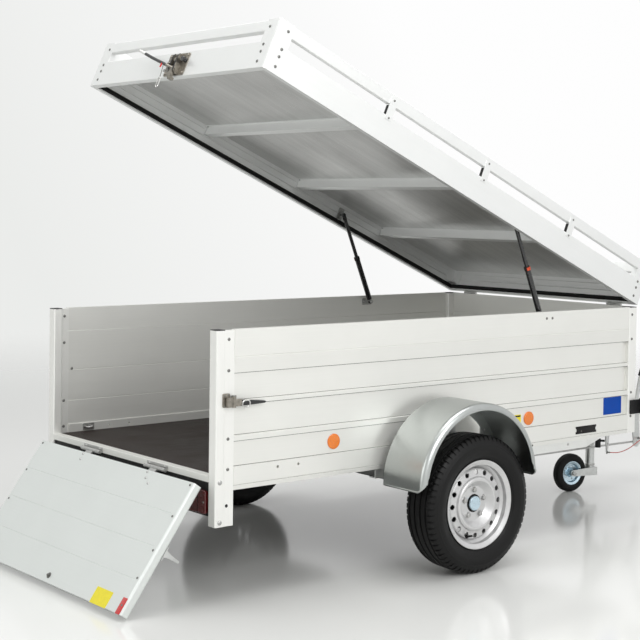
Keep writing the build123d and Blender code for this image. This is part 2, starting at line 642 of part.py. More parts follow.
def mudguards():
    x0, z0 = AXLE_X - GUARD_BACK, WHEEL_R + GUARD_RISE
    r, t, q = WHEEL_R + GUARD_ROOM, GUARD_SHEET, GUARD_SHOULDER
    y1 = -HALF - GUARD_GAP
    y0 = y1 - GUARD_WIDTH
    section = [Line((y1, r), (y0 + q, r)), CenterArc((y0 + q, r - q), q, 90, 90),
               Line((y0, r - q), (y0 + t, r - q)), CenterArc((y0 + q, r - q), q - t, 180, -90),
               Line((y0 + q, r - t), (y1 - t, r - t)), Line((y1 - t, r - t), (y1 - t, r - GUARD_FLANGE)),
               Line((y1 - t, r - GUARD_FLANGE), (y1, r - GUARD_FLANGE)), Line((y1, r - GUARD_FLANGE), (y1, r))]
    face = Plane((x0, 0, z0), x_dir=(0, 1, 0), z_dir=(1, 0, 0)) * make_face(section)
    whole = revolve(face, axis=Axis((x0, 0, z0), (0, 1, 0)), revolution_arc=360)
    guard = whole & block(x0 - r - 10, x0 + r + 10, y0 - 10, y1 + 10, z0, z0 + r + 10)
    y2, z2 = y0 + GUARD_CORNER - GUARD_CORNER_EASE, z0 + GUARD_CORNER - GUARD_CORNER_EASE
    corner = block(x0 - r - 1, x0 + r + 1, y0 - 2, y2, z0 - 2, z2)
    guard -= corner - rod_x(y2, z2, GUARD_CORNER, x0 - r - 2, x0 + r + 2)
    keep("mudguards", both(guard))
    low = SILL_BOTTOM + 22
    stays = []
    for x in (x0 - 0.72 * r, x0 + 0.16 * r, x0 + 0.72 * r):
        reach = max(abs(x - 18 - x0), abs(x + 18 - x0))
        top = z0 + (r ** 2 - reach ** 2) ** 0.5 - GUARD_SHEET - 12
        bar = outline([(-HALF - TOUCH, low), (y1 + TOUCH, low), (y1 + TOUCH, top), (y1 + 5, top), (y1 + 5, low + 5),
                       (-HALF - 5, low + 5), (-HALF - 5, low + 50), (-HALF - TOUCH, low + 50)])
        stays += both(along_x(bar, x - 18, x + 18))
    keep("mudguard_stays", stays)


# ---- jockey wheel ----
def jockey():
    top, fork_top = JOCKEY_TOP, JOCKEY_FORK_TOP
    crank = bent_rod([(JOCKEY_X, 0, top + TOUCH), (JOCKEY_X, 0, top + 34), (JOCKEY_X, 120, top + 34),
                      (JOCKEY_X, 120, top + 110)], 12, 7)
    keep("jockey_crank", crank + rod_z(JOCKEY_X, 120, 11, top + 56, top + 126))
    tube = rod_z(JOCKEY_X, 0, JOCKEY_TUBE_R, fork_top, top)
    tube = fillet(tube.edges().group_by(Axis.Z)[-1], 5)
    tube += rod_z(JOCKEY_X, 0, JOCKEY_PIN_R, fork_top - 20, fork_top + 1)
    tube += rod_z(JOCKEY_X, 0, JOCKEY_PIN_R + 5, fork_top - 26, fork_top - 20)
    keep("jockey_tube", tube)
    axle_x = JOCKEY_X - JOCKEY_TRAIL
    half = JOCKEY_WIDTH / 2
    inner = half + JOCKEY_SIDE_GAP
    nose = JOCKEY_X + JOCKEY_TUBE_R - 2
    cheek = make_face([
        Line((axle_x, JOCKEY_R + 16), (JOCKEY_X - 30, fork_top - 0.3)),
        Line((JOCKEY_X - 30, fork_top - 0.3), (nose, fork_top - 0.3)), Line((nose, fork_top - 0.3), (nose, fork_top - 44)),
        Line((nose, fork_top - 44), (axle_x, JOCKEY_R - 16)),
        ThreePointArc((axle_x, JOCKEY_R - 16), (axle_x - 16, JOCKEY_R), (axle_x, JOCKEY_R + 16))])
    fork = along_y(cheek, -inner - JOCKEY_PLATE, -inner) + along_y(cheek, inner, inner + JOCKEY_PLATE)
    fork += block(JOCKEY_X - 24, nose, -inner - 1, inner + 1, fork_top - 14, fork_top - 0.3)
    fork -= rod_z(JOCKEY_X, 0, JOCKEY_PIN_R + SHAFT_GAP, fork_top - 20, fork_top + 1)
    fork += rod_y(axle_x, JOCKEY_R, JOCKEY_AXLE_R, -inner - JOCKEY_PLATE - 6, inner + JOCKEY_PLATE + 6)
    tread = make_face([
        Line((-half + 4, 62), (-half, 72)), Line((-half, 72), (-half, 84)),
        ThreePointArc((-half, 84), (-half + 6, 95), (-half + 15, JOCKEY_R)),
        Line((-half + 15, JOCKEY_R), (half - 15, JOCKEY_R)),
        ThreePointArc((half - 15, JOCKEY_R), (half - 6, 95), (half, 84)),
        Line((half, 84), (half, 72)), Line((half, 72), (half - 4, 62)), Line((half - 4, 62), (-half + 4, 62))])
    web = half - 2
    rim = outline([(-web, 60), (-web, 62 - TOUCH), (web, 62 - TOUCH), (web, 60), (web - 4, 50), (7, 45), (5, 24),
                   (web - 1, 19), (web - 1, JOCKEY_AXLE_R + SHAFT_GAP), (1 - web, JOCKEY_AXLE_R + SHAFT_GAP),
                   (1 - web, 19), (-5, 24), (-7, 45), (4 - web, 50)])
    rim = spin(rim, axle_x, JOCKEY_R)
    for i in range(5):
        a = 2 * pi / 5 * i
        rim -= rod_y(axle_x + 34 * cos(a), JOCKEY_R + 34 * sin(a), 6, -half, half)
    swing = Pos(JOCKEY_X, 0, 0) * Rot(0, 0, JOCKEY_YAW) * Pos(-JOCKEY_X, 0, 0)
    keep("jockey_fork", swing * fork)
    keep("jockey_tyre", swing * spin(tread, axle_x, JOCKEY_R))
    keep("jockey_rim", swing * rim)


# ---- lights ----
def lights():
    z0 = REAR_POST_BOTTOM + 33
    z1 = FLOOR_TOP + EDGE_LIP - EDGE_HEIGHT
    channel = [(8, z0), (34, z0), (34, z0 + 6), (14, z0 + 6), (14, z1 - 6), (34, z1 - 6), (34, z1), (8, z1)]
    keep("light_board", along_y(outline(channel), -POST_FACE, POST_FACE))
    lamp = block(-5, 8 - TOUCH, -POST_FACE + 12, -POST_FACE + 172, z0 + 8, z0 + 96)
    lamp = rounded(lamp, Axis.X, 10)
    lamp = fillet(lamp.edges().group_by(Axis.X)[0], 4)
    keep("rear_lamps", both(lamp))
    x1 = BOX_LENGTH + 38
    holder = along_x(outline([(-HALF - TOUCH, 522), (-HALF - 7, 520), (-HALF - 7, 588), (-HALF - TOUCH, 586)]),
                     BOX_LENGTH - 44, x1)
    holder += rounded(block(x1 - 14, x1, -HALF - 50, -HALF - 1, 520, 588), Axis.X, 6)
    lens = rounded(block(x1 + TOUCH, x1 + 14, -HALF - 46, -HALF - 6, 526, 582), Axis.X, 8)
    keep("marker_holders", both(holder))
    keep("marker_lamps", both(lens))


# ---- tailgate, drawn closed ----
def tailgate():
    half = POST_FACE - GATE_SIDE_GAP
    x0, x1 = GATE_INNER_X - GATE_THICK, GATE_INNER_X
    z0, z1 = GATE_AXIS_Z + GATE_RISE, WALL_TOP - GATE_TOP_GAP
    body = half - GATE_EDGE_WIDTH
    pitch = (z1 - z0) / 4
    outer, inner = [(x0, z0)], [(x1, z1)]
    for i in (1, 2, 3):
        z = z0 + i * pitch
        outer += [(x0, z - 8), (x0 + 4, z - 5), (x0 + 4, z + 5), (x0, z + 8)]
        inner.append((x1, z1 - i * pitch + 2))
        inner += [(x1 - JOINT_GROOVE, z1 - i * pitch), (x1, z1 - i * pitch - 2)]
    pieces = {}
    pieces["tailgate_panel"] = [along_y(outline(outer + [(x0, z1)] + inner + [(x1, z0)]), -body, body)]
    edge = block(x1 - GATE_EDGE_THICK, x1, -half, -body, z0, z1)
    edge = fillet(edge.edges().filter_by(Axis.Z).group_by(Axis.Y)[0], GATE_EDGE_ROUND)
    pieces["tailgate_edges"] = both(edge)
    straps, leaves = [], []
    hinge_y = HALF - GATE_HINGE_INSET
    w = GATE_HINGE_WIDTH / 2
    k = GATE_KNUCKLE_HALF
    ax, az, kr = GATE_AXIS_X, GATE_AXIS_Z, GATE_KNUCKLE_R
    for y in (-hinge_y, hinge_y):
        strap = rounded(block(x0 - 4, x0 - TOUCH, y - w, y + w, z0 + 2, z0 + 50), Axis.X, 8)
        strap += along_y(outline([(ax - 4, az + 4), (x0 - 4, z0 + 6), (x0 - TOUCH, z0 + 6), (ax + 4, az + 4)]),
                         y - k, y + k)
        strap += rod_y(ax, az, kr, y - k, y + k)
        straps.append(strap - rod_y(ax, az, GATE_PIN_R + SHAFT_GAP, y - w, y + w))
        leaf = block(-3, -TOUCH, y - w, y + w, az - 4, az + 17)
        for a, b in ((y - w, y - k - 1), (y + k + 1, y + w)):
            leaf += rod_y(ax, az, kr, a, b) + block(ax, -TOUCH, a, b, az - 4, az + 4)
        leaves.append(leaf + rod_y(ax, az, GATE_PIN_R, y - w + 1, y + w - 1))
    pieces["tailgate_hinge_straps"] = straps
    keep("tailgate_hinge_leaves", leaves)
    face = x1 - GATE_EDGE_THICK
    z = az + STRIKER_RISE
    striker = along_x(Pos(-half + 17, z) * RectangleRounded(26, 60, 6), face - 5, face - TOUCH)
    striker += along_y(outline([(face - 4, z - 16), (face - 4, z + 16), (face - 30, z + 9), (face - 78, z + 4),
                                (face - 82, z), (face - 78, z - 5), (face - 30, z - 9)]), -half + 12, -half + 22)
    pieces["tailgate_strikers"] = both(striker)
    for name, solids in pieces.items():
        keep(name, [turn_y(s, ax, az, -GATE_OPEN) for s in solids])


# ---- lid, drawn closed ----
def lid_wall_profile():
    """Lid wall as (depth from the outer face, height): two hollows inside, and the sheet's ledge."""
    ledge = LID_PANEL - LID_SHEET - 1
    inner = LID_WALL - LID_SHEET_LEDGE
    low, high = LID_WALL - 4, LID_WALL - 3
    return [(0, 0), (LID_WALL, 0), (LID_WALL, 29), (low, 32), (low, 55), (LID_WALL, 58), (LID_WALL, 63),
            (high, 66), (high, 88), (LID_WALL, 91), (LID_WALL, ledge), (inner, ledge), (inner, LID_PANEL),
            (0, LID_PANEL)]


def lid_posts():
    """Corner angles with a rounded outer corner, notched for the sheet."""
    x0, y0, z0 = -LID_REAR, -LID_HALF, LID_BOTTOM
    angle = outline([(x0, y0), (x0 + LID_POST, y0), (x0 + LID_POST, y0 + LID_WALL), (x0 + LID_WALL, y0 + LID_WALL),
                     (x0 + LID_WALL, y0 + LID_POST), (x0, y0 + LID_POST)])
    corner = along_z(angle, z0, z0 + LID_HEIGHT)
    edge = corner.edges().filter_by(Axis.Z).sort_by(lambda e: e.center().X + e.center().Y)[0]
    corner = fillet(edge, LID_POST_ROUND)
    inner = LID_WALL - LID_SHEET_LEDGE
    corner -= block(x0 + inner, x0 + LID_POST + 1, y0 + inner, y0 + LID_POST + 1,
                    z0 + LID_PANEL - LID_SHEET - 1, z0 + LID_PANEL)
    rear = both(corner)
    middle = Plane.YZ.offset((BOX_LENGTH - LID_REAR) / 2)
    return rear + [mirror(s, about=middle) for s in rear]


def lid_hinges():
    straps, leaves = [], []
    x, z, r = LID_AXIS_X, LID_AXIS_Z, LID_KNUCKLE_R
    front = BOX_LENGTH
    w, k = LID_HINGE_WIDTH / 2, LID_KNUCKLE_HALF
    for y in (-HALF + LID_HINGE_INSET, HALF - LID_HINGE_INSET):
        strap = rounded(block(front + TOUCH, front + 3, y - w, y + w, z + r + 2, LID_BOTTOM + 62), Axis.X, 6)
        strap += rod_y(x, z, r, y - k, y + k)
        strap += along_y(outline([(front + TOUCH, z + 4), (x - 1, z + 4), (front + 3, z + 14), (front + TOUCH, z + 14)]),
                         y - k, y + k)
        straps.append(strap - rod_y(x, z, LID_PIN_R + SHAFT_GAP, y - w, y + w))
        leaf = rounded(block(front + TOUCH, front + 3, y - w, y + w, WALL_TOP - 62, z - r - 2), Axis.X, 6)
        for a, b in ((y - w, y - k - 1), (y + k + 1, y + w)):
            leaf += rod_y(x, z, r, a, b)
            leaf += along_y(outline([(front + TOUCH, z - 4), (x - 1, z - 4), (front + 3, z - 14),
                                     (front + TOUCH, z - 14)]), a, b)
        leaves.append(leaf + rod_y(x, z, LID_PIN_R, y - w + 1, y + w - 1))
    return straps, leaves


def lid_latch():
    """Base plate, two ears with a pin, a long hand lever, and the hook that grips the tailgate."""
    x, z0 = -LID_REAR, LID_BOTTOM
    plate = along_x(Pos(-30, z0 + 54) * RectangleRounded(148, 100, 6), x - 4, x - TOUCH)
    ear = outline([(x - 3, z0 + 5), (x - 3, z0 + 99), (x - 22, z0 + 92), (x - 30, z0 + 80), (x - 30, z0 + 18),
                   (x - 16, z0 + 5)])
    for y in (-62, -28):
        plate += along_y(ear, y, y + 4)
    plate += rod_y(x - 22, z0 + 26, 6, -66, -18)
    lever = bent_rod([(x - 22, -50, z0 + 26), (x - 34, -6, z0 + 38), (x - 38, 120, z0 + 78), (x - 38, 246, z0 + 121)],
                     18, 6)
    hook = along_y(outline([(x - 28, z0 + 34), (x - 16, z0 + 34), (x - 14, z0 - 8), (x - 6, z0 - 14), (x - 6, z0 - 22),
                            (x - 24, z0 - 22), (x - 30, z0 - 10)]), -54, -34)
    lock = rod_x(-90, z0 + 69, 10, x - 22, x - 3)
    return plate + lever + hook + lock


def lid():
    pieces = {}
    x0, x1, z0 = -LID_REAR, BOX_LENGTH, LID_BOTTOM
    profile = lid_wall_profile()
    half = LID_HALF - LID_POST
    side = along_x(outline([(-LID_HALF + d, z0 + h) for d, h in profile]), x0 + LID_POST, x1 - LID_POST)
    rear = along_y(outline([(x0 + d, z0 + h) for d, h in profile]), -half, half)
    front = along_y(outline([(x1 - d, z0 + h) for d, h in profile]), -half, half)
    pieces["lid_panels"] = both(side) + [rear, front]
    pieces["lid_posts"] = lid_posts()
    inset = LID_WALL - LID_SHEET_LEDGE + 0.3
    ledge = z0 + LID_PANEL - LID_SHEET - 1
    pieces["lid_sheet"] = [block(x0 + inset, x1 - inset, -LID_HALF + inset, LID_HALF - inset,
                                 ledge, ledge + LID_SHEET)]
    bars, brackets = [], []
    rail_top = z0 + LID_HEIGHT - 4
    rail_low = rail_top - LID_RAIL_HEIGHT
    for i in range(BAR_COUNT):
        x = LID_AXIS_X - BAR_FIRST - i * BAR_PITCH
        a, t, low = BAR_WIDTH / 2, BAR_SHEET, ledge - BAR_HEIGHT
        hat = outline([(x - a, ledge), (x - a, ledge - t), (x - a + 8, ledge - t), (x - a + 8, low), (x + a - 8, low),
                       (x + a - 8, ledge - t), (x + a, ledge - t), (x + a, ledge), (x + a - 8 - t, ledge),
                       (x + a - 8 - t, low + t), (x - a + 8 + t, low + t), (x - a + 8 + t, ledge)])
        width = LID_HALF - LID_WALL
        bars.append(along_y(hat, -width, width))
        bracket = along_y(Pos(x, (z0 + 96 + rail_top - 16) / 2) * RectangleRounded(36, rail_top - z0 - 112, 5),
                          -LID_HALF - 3, -LID_HALF - TOUCH)
        bracket += block(x - 14, x + 14, -LID_HALF - 1, -LID_HALF + 20, z0 + LID_PANEL + TOUCH, rail_low - TOUCH)
        brackets += both(bracket)
    pieces["lid_cross_bars"] = bars
    pieces["lid_rail_brackets"] = brackets
    tubes = both(rounded(block(x0 + LID_POST, x1 - LID_POST, -LID_HALF, -LID_HALF + LID_RAIL_DEPTH, rail_low, rail_top),
                         Axis.X, 4))
    for a, b in ((x0, x0 + LID_RAIL_DEPTH), (x1 - LID_RAIL_DEPTH, x1)):
        tubes.append(rounded(block(a, b, -half, half, rail_low, rail_top), Axis.Y, 4))
    pieces["lid_rails"] = tubes
    pieces["lid_hinge_straps"], leaves = lid_hinges()
    keep("lid_hinge_leaves", leaves)
    pieces["lid_latch"] = [lid_latch()]
    inner = -LID_HALF + LID_WALL
    plate = along_y(Pos(LID_AXIS_X - STRUT_HIGH_S, z0 + STRUT_HIGH_H) * RectangleRounded(34, 72, 6),
                    inner + TOUCH, inner + 4)
    pieces["lid_strut_brackets"] = both(plate)
    for name, solids in pieces.items():
        keep(name, [turn_y(s, LID_AXIS_X, LID_AXIS_Z, LID_OPEN) for s in solids])


# ---- gas struts ----
def strut_line(angle):
    """Length of a strut and its lean forward of upright, with the lid open by an angle."""
    a = radians(angle)
    dx, dz = -STRUT_HIGH_S, LID_BOTTOM + STRUT_HIGH_H - LID_AXIS_Z
    x = LID_AXIS_X + dx * cos(a) + dz * sin(a) - STRUT_LOW_X
    z = LID_AXIS_Z - dx * sin(a) + dz * cos(a) - STRUT_LOW_Z
    return hypot(x, z), degrees(atan2(x, z))


def struts():
    """Barrel on the wall's pin, rod with its eye on a stud that meets the lid's bracket."""
    length, lean = strut_line(LID_OPEN)
    up = (Align.CENTER, Align.CENTER, Align.MIN)
    eye = along_y(Circle(EYE_R), -EYE_HALF, EYE_HALF)
    barrel = Pos(0, 0, 14) * Cylinder(BARREL_R, BARREL_LENGTH - 14, align=up)
    barrel = fillet(barrel.edges(), 3)
    barrel -= Pos(0, 0, 24) * Cylinder(ROD_R + SHAFT_GAP, BARREL_LENGTH, align=up)
    barrel += eye + Pos(0, 0, 6) * Cylinder(6, 10, align=up)
    barrel -= along_y(Circle(STRUT_PIN_R + SHAFT_GAP), -EYE_HALF - 1, EYE_HALF + 1)
    start = BARREL_LENGTH - 25
    rod = Pos(0, 0, start) * Cylinder(ROD_R, length - start - EYE_R + 4, align=up)
    stud = along_y(Circle(STRUT_PIN_R), STRUT_Y - LID_HALF + LID_WALL + 4.3, EYE_HALF + 4)
    rod += Pos(0, 0, length) * (eye + stud)
    place = Pos(STRUT_LOW_X, -STRUT_Y, STRUT_LOW_Z) * Rot(0, lean, 0)
    keep("strut_barrel_right", place * barrel)
    keep("strut_barrel_left", left_of(place * barrel))
    keep("strut_rod_right", place * rod)
    keep("strut_rod_left", left_of(place * rod))
    inner = -HALF + WALL - BAND_STEP
    mount = along_y(Pos(STRUT_LOW_X, STRUT_LOW_Z) * RectangleRounded(62, 34, 6), inner + TOUCH, inner + 4)
    mount += rod_y(STRUT_LOW_X, STRUT_LOW_Z, STRUT_PIN_R, inner + 3, -STRUT_Y + EYE_HALF + 4)
    keep("strut_brackets", both(mount))
    print("strut open", length, lean, "closed", *strut_line(0))


def side_latches():
    """Plate on each rear post with a swung, tapered lever and its safety ring."""
    face = -HALF - TOUCH
    z = WALL_TOP - 273
    latch = along_y(Pos(44, z + 9) * RectangleRounded(32, 52, 5), face - 4, face)
    latch += rounded(block(38, 64, face - 20, face - 3, z - 16, z + 20), Axis.Z, 5)
    latch += rod_z(72, face - 12, 9, z - 18, z + 24)
    latch += rounded(block(64, 104, face - 18, face - 5, z - 14, z + 13), Axis.X, 4)
    latch += along_y(outline([(84, z + 9), (110, z + 8), (212, z - 3), (218, z - 6), (212, z - 10),
                              (110, z - 13), (84, z - 14)]), face - 16, face - 6)
    ring = FilletPolyline((108, face - 17, z - 19), (142, face - 17, z - 19), (142, face - 17, z + 5),
                          (108, face - 17, z + 5), (108, face - 17, z - 19), radius=10, close=True)
    keep("side_latches", both(latch + sweep(Plane(origin=ring @ 0, z_dir=ring % 0) * Circle(2.2), path=ring)))


box_walls()
corner_posts()
floor()
lashing_rings()
drawbar()
jockey_clamp()
coupling()
handbrake()
cable_plate()
breakaway_cable()
axle()
wheel()
mudguards()
jockey()
lights()
tailgate()
lid()
struts()
side_latches()

os.makedirs("parts", exist_ok=True)
to_ball = Pos(-BALL_X, 0, -BALL_Z)
for name, solids in parts.items():
    moved = [to_ball * s for s in solids]
    export_step(moved[0] if len(moved) == 1 else Compound(children=moved), f"parts/{name}.step")
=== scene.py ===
"""Lidded box trailer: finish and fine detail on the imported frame, with floor, light and camera."""
from math import atan2, cos, pi, radians, sin

import bmesh
import bpy
from mathutils import Matrix, Vector


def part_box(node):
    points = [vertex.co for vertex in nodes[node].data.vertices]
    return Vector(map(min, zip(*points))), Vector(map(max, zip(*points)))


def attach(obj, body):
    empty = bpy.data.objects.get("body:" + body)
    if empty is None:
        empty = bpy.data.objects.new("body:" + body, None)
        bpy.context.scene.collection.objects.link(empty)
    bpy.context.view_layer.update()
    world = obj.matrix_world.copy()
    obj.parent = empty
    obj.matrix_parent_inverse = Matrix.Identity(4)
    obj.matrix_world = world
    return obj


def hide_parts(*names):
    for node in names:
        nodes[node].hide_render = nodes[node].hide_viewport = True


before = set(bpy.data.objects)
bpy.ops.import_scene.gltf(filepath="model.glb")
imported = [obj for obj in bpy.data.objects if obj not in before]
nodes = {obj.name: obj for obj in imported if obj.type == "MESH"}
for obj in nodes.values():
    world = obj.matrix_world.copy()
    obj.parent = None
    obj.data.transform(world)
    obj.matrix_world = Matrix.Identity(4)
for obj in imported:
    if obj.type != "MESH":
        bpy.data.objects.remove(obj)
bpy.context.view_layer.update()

# ---- places: road millimetres (x from the box's rear face, z from the ground) to the frame ----
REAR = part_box("corner_posts")[0][0]
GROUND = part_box("tyre_right")[0][2]
ROAD = Matrix.Translation((REAR, 0, GROUND)) @ Matrix.Scale(0.001, 4)


def turned(x, z, angle):
    """Road place of a body drawn closed and turned about the cross axis at (x, z)."""
    pivot = Matrix.Translation((x, 0, z))
    return ROAD @ pivot @ Matrix.Rotation(radians(angle), 4, "Y") @ pivot.inverted()


LID_AXIS = (2438, 1037)
LID_OPEN = 23.6
GATE_AXIS = (-12, 466.5)
GATE_OPEN = 144.5
LID = turned(*LID_AXIS, LID_OPEN)
GATE = turned(*GATE_AXIS, -GATE_OPEN)
HALF = 650              # half the box's width
LENGTH = 2430           # the box's length
WALL_INSIDE = 625       # half the width between the walls
PLANK_FACE = 642        # recessed outer face of the wall planks
LID_Z = 1039            # lower edge of the closed lid
LID_HALF = 655          # half the lid's width
LID_REAR = -15          # rear face of the lid
LID_BRACKETS = (610, 1210, 1810)    # rail brackets, back from the lid's axis
GATE_Z = 493.5          # lower edge of the shut tailgate
GATE_INNER, GATE_OUTER = 23, -17    # its faces, shut
GATE_HINGE_Y = 251
AXLE_X, WHEEL_Y, WHEEL_R = 1139, 825, 284
WHEEL_FACE = WHEEL_Y + 34    # outer face of the wheel disc at its bolts
STUD_COUNT, STUD_CIRCLE = 5, 56
GUARD_EDGE = 934        # outer edge of the mudguards
STRUT_Y = 598           # middle of the gas struts
STRUT_ON_LID = -914, 52      # the struts' upper pins from the lid's axis and lower edge
JOCKEY_X = 2860
TUBE_Z = 418            # middle of the overrun tube
LATCH_Z = 761           # height of the side latches

# ---- camera ----
PITCH, YAW, ROLL = 0.0217, 0.8648, 0.0135
ahead = Vector((cos(YAW) * cos(PITCH), sin(YAW) * cos(PITCH), -sin(PITCH)))
level = Vector((sin(YAW), -cos(YAW), 0))
upward = level.cross(ahead)
right = level * cos(ROLL) + upward * sin(ROLL)
up = upward * cos(ROLL) - level * sin(ROLL)
camera_data = bpy.data.cameras.new("camera")
camera_data.lens = 80.06
camera_data.sensor_width = 36
camera_data.shift_x = -0.0797
camera_data.shift_y = -0.1311
camera_data.clip_end = 100
camera = bpy.data.objects.new("camera", camera_data)
place = Matrix((right, up, -ahead)).transposed().to_4x4()
place.translation = ROAD @ Vector((-2980.5, -5017.2, 1504.4))
camera.matrix_world = place
bpy.context.collection.objects.link(camera)
bpy.context.scene.camera = camera


# ---- breakaway cable: its route in metres, from the brake lever to the tongue plate ----
CABLE_ROUTE = ((-0.454, -0.096, -0.142), (-0.454, -0.122, -0.142), (-0.496, -0.131, -0.151),
               (-0.548, -0.140, -0.166), (-0.604, -0.152, -0.177), (-0.662, -0.166, -0.182),
               (-0.720, -0.181, -0.182), (-0.77137, -0.18618, -0.177), (-0.785, -0.15946, -0.177))
CABLE_WIDTH = 0.0044


def breakaway_cable():
    """Red sheathed cable, in place of its CAD tube."""
    curve = bpy.data.curves.new("cable_sheath", "CURVE")
    curve.dimensions = "3D"
    curve.bevel_depth = 1    # the points carry the radius, so the curve's box is its own
    curve.bevel_resolution = 4
    curve.resolution_u = 16
    curve.use_fill_caps = True
    spline = curve.splines.new("NURBS")
    spline.points.add(len(CABLE_ROUTE) - 1)
    for point, spot in zip(spline.points, CABLE_ROUTE):
        point.co, point.radius = (*spot, 1), CABLE_WIDTH / 2
    spline.order_u = 3
    spline.use_endpoint_u = True
    thing = bpy.data.objects.new("cable_sheath", curve)
    bpy.context.collection.objects.link(thing)
    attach(thing, "chassis")
    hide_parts("breakaway_cable")
    return thing


cable = breakaway_cable()


# ---- material nodes ----
class Paint:
    """A node material on one Principled shader, in object coordinates."""

    def __init__(self, name, colour, metallic, rough):
        self.material = bpy.data.materials.new(name)
        self.material.use_nodes = True
        self.nodes = self.material.node_tree.nodes
        self.links = self.material.node_tree.links
        self.shader = self.nodes["Principled BSDF"]
        self.shader.inputs["Base Color"].default_value = (*colour, 1)
        self.shader.inputs["Metallic"].default_value = metallic
        self.shader.inputs["Roughness"].default_value = rough
        self.coordinate = self.nodes.new("ShaderNodeTexCoord")

    def mapped(self, scale, turn=0):
        """Object coordinates, turned about Y in degrees and scaled per axis."""
        rotate = self.nodes.new("ShaderNodeMapping")
        rotate.inputs["Rotation"].default_value = (0, radians(turn), 0)
        self.links.new(self.coordinate.outputs["Object"], rotate.inputs["Vector"])
        stretch = self.nodes.new("ShaderNodeMapping")
        stretch.inputs["Scale"].default_value = scale
        self.links.new(rotate.outputs["Vector"], stretch.inputs["Vector"])
        return stretch.outputs["Vector"]

    def noise(self, scale, turn=0, detail=3, roughness=0.5):
        texture = self.nodes.new("ShaderNodeTexNoise")
        texture.inputs["Scale"].default_value = 1
        texture.inputs["Detail"].default_value = detail
        texture.inputs["Roughness"].default_value = roughness
        self.links.new(self.mapped(scale, turn), texture.inputs["Vector"])
        return texture.outputs["Fac"]

    def cells(self, scale, turn=0, feature="F1", output="Color"):
        texture = self.nodes.new("ShaderNodeTexVoronoi")
        texture.feature = feature
        texture.inputs["Scale"].default_value = 1
        self.links.new(self.mapped(scale, turn), texture.inputs["Vector"])
        return texture.outputs[output]

    def ranged(self, value, low, high, start=0.0, end=1.0):
        node = self.nodes.new("ShaderNodeMapRange")
        self.links.new(value, node.inputs["Value"])
        for name, number in (("From Min", low), ("From Max", high), ("To Min", start), ("To Max", end)):
            node.inputs[name].default_value = number
        return node.outputs["Result"]

    def sum(self, a, b, how="ADD"):
        node = self.nodes.new("ShaderNodeMath")
        node.operation = how
        for socket, value in zip(node.inputs, (a, b)):
            if isinstance(value, (int, float)):
                socket.default_value = value
            else:
                self.links.new(value, socket)
        return node.outputs[0]

    def tint(self, value, first, second, low=0.3, high=0.7):
        """Base colour runs from first to second as value runs from low to high."""
        mix = self.nodes.new("ShaderNodeMix")
        mix.data_type = "RGBA"
        self.links.new(self.ranged(value, low, high), mix.inputs["Factor"])
        colours = [socket for socket in mix.inputs if socket.type == "RGBA"]
        for socket, colour in zip(colours, (first, second)):
            if isinstance(colour, tuple):
                socket.default_value = (*colour, 1)
            else:
                self.links.new(colour, socket)
        output = [socket for socket in mix.outputs if socket.type == "RGBA"][0]
        self.links.new(output, self.shader.inputs["Base Color"])
        return output

    def rough(self, value, low, high, start=0.3, end=0.7):
        self.links.new(self.ranged(value, start, end, low, high), self.shader.inputs["Roughness"])

    def bump(self, value, height, strength=1.0):
        """Raises the surface by up to height, in metres."""
        node = self.nodes.new("ShaderNodeBump")
        node.inputs["Strength"].default_value = strength
        node.inputs["Distance"].default_value = height
        self.links.new(value, node.inputs["Height"])
        self.links.new(node.outputs["Normal"], self.shader.inputs["Normal"])

    def coat(self, weight, rough):
        self.shader.inputs["Coat Weight"].default_value = weight
        self.shader.inputs["Coat Roughness"].default_value = rough

    def specular(self, level):
        self.shader.inputs["Specular IOR Level"].default_value = level


def shade(colour, factor):
    return tuple(min(1.0, c * factor) for c in colour)


def anodised(name, colour, turn=0, grain=(3, 420, 420), rough=(0.36, 0.46), vary=0.022, metal=0.5):
    """Satin extruded aluminium: fine die lines along the profile, faint cloudiness and smudges."""
    paint = Paint(name, colour, metal, 0.4)
    lines = paint.noise(grain, turn, 2)
    cloud = paint.noise((5, 5, 5), turn, 4)
    smudge = paint.noise((38, 38, 38), turn, 3, 0.6)
    blend = paint.sum(paint.sum(lines, 0.45, "MULTIPLY"), paint.sum(cloud, 0.55, "MULTIPLY"))
    paint.tint(blend, shade(colour, 1 - vary), shade(colour, 1 + vary))
    paint.rough(paint.sum(paint.sum(lines, 0.5, "MULTIPLY"), paint.sum(smudge, 0.5, "MULTIPLY")), *rough)
    paint.bump(lines, 0.00004, 0.6)
    return paint.material


def galvanised(name, colour, turn=0, grain=70, rough=(0.3, 0.46), vary=0.1):
    """Zinc-dipped steel: soft spangle cells under a cloudy bloom."""
    paint = Paint(name, colour, 1.0, 0.4)
    cells = paint.cells((grain, grain, grain), turn)
    cloud = paint.noise((9, 9, 9), turn, 4)
    fine = paint.noise((260, 260, 260), turn, 2)
    mixed = paint.sum(paint.sum(cells, 0.35, "MULTIPLY"), paint.sum(cloud, 0.65, "MULTIPLY"))
    paint.tint(mixed, shade(colour, 1 - vary), shade(colour, 1 + vary), 0.25, 0.75)
    paint.rough(mixed, *rough)
    paint.bump(paint.sum(fine, cells, "MULTIPLY"), 0.00006, 0.5)
    return paint.material


def plain(name, colour, metallic, rough, grain=60, vary=0.06, height=0.0, coat=None, specular=None):
    """Paint, plastic or plated metal with faint colour, gloss and surface variation."""
    paint = Paint(name, colour, metallic, rough)
    wide = paint.noise((grain, grain, grain), 0, 4)
    paint.tint(wide, shade(colour, 1 - vary), shade(colour, 1 + vary))
    paint.rough(wide, max(0.05, rough - 0.06), rough + 0.08)
    if height:
        paint.bump(paint.noise((grain * 9, grain * 9, grain * 9), 0, 2), height, 0.7)
    if coat:
        paint.coat(*coat)
    if specular is not None:
        paint.specular(specular)
    return paint.material


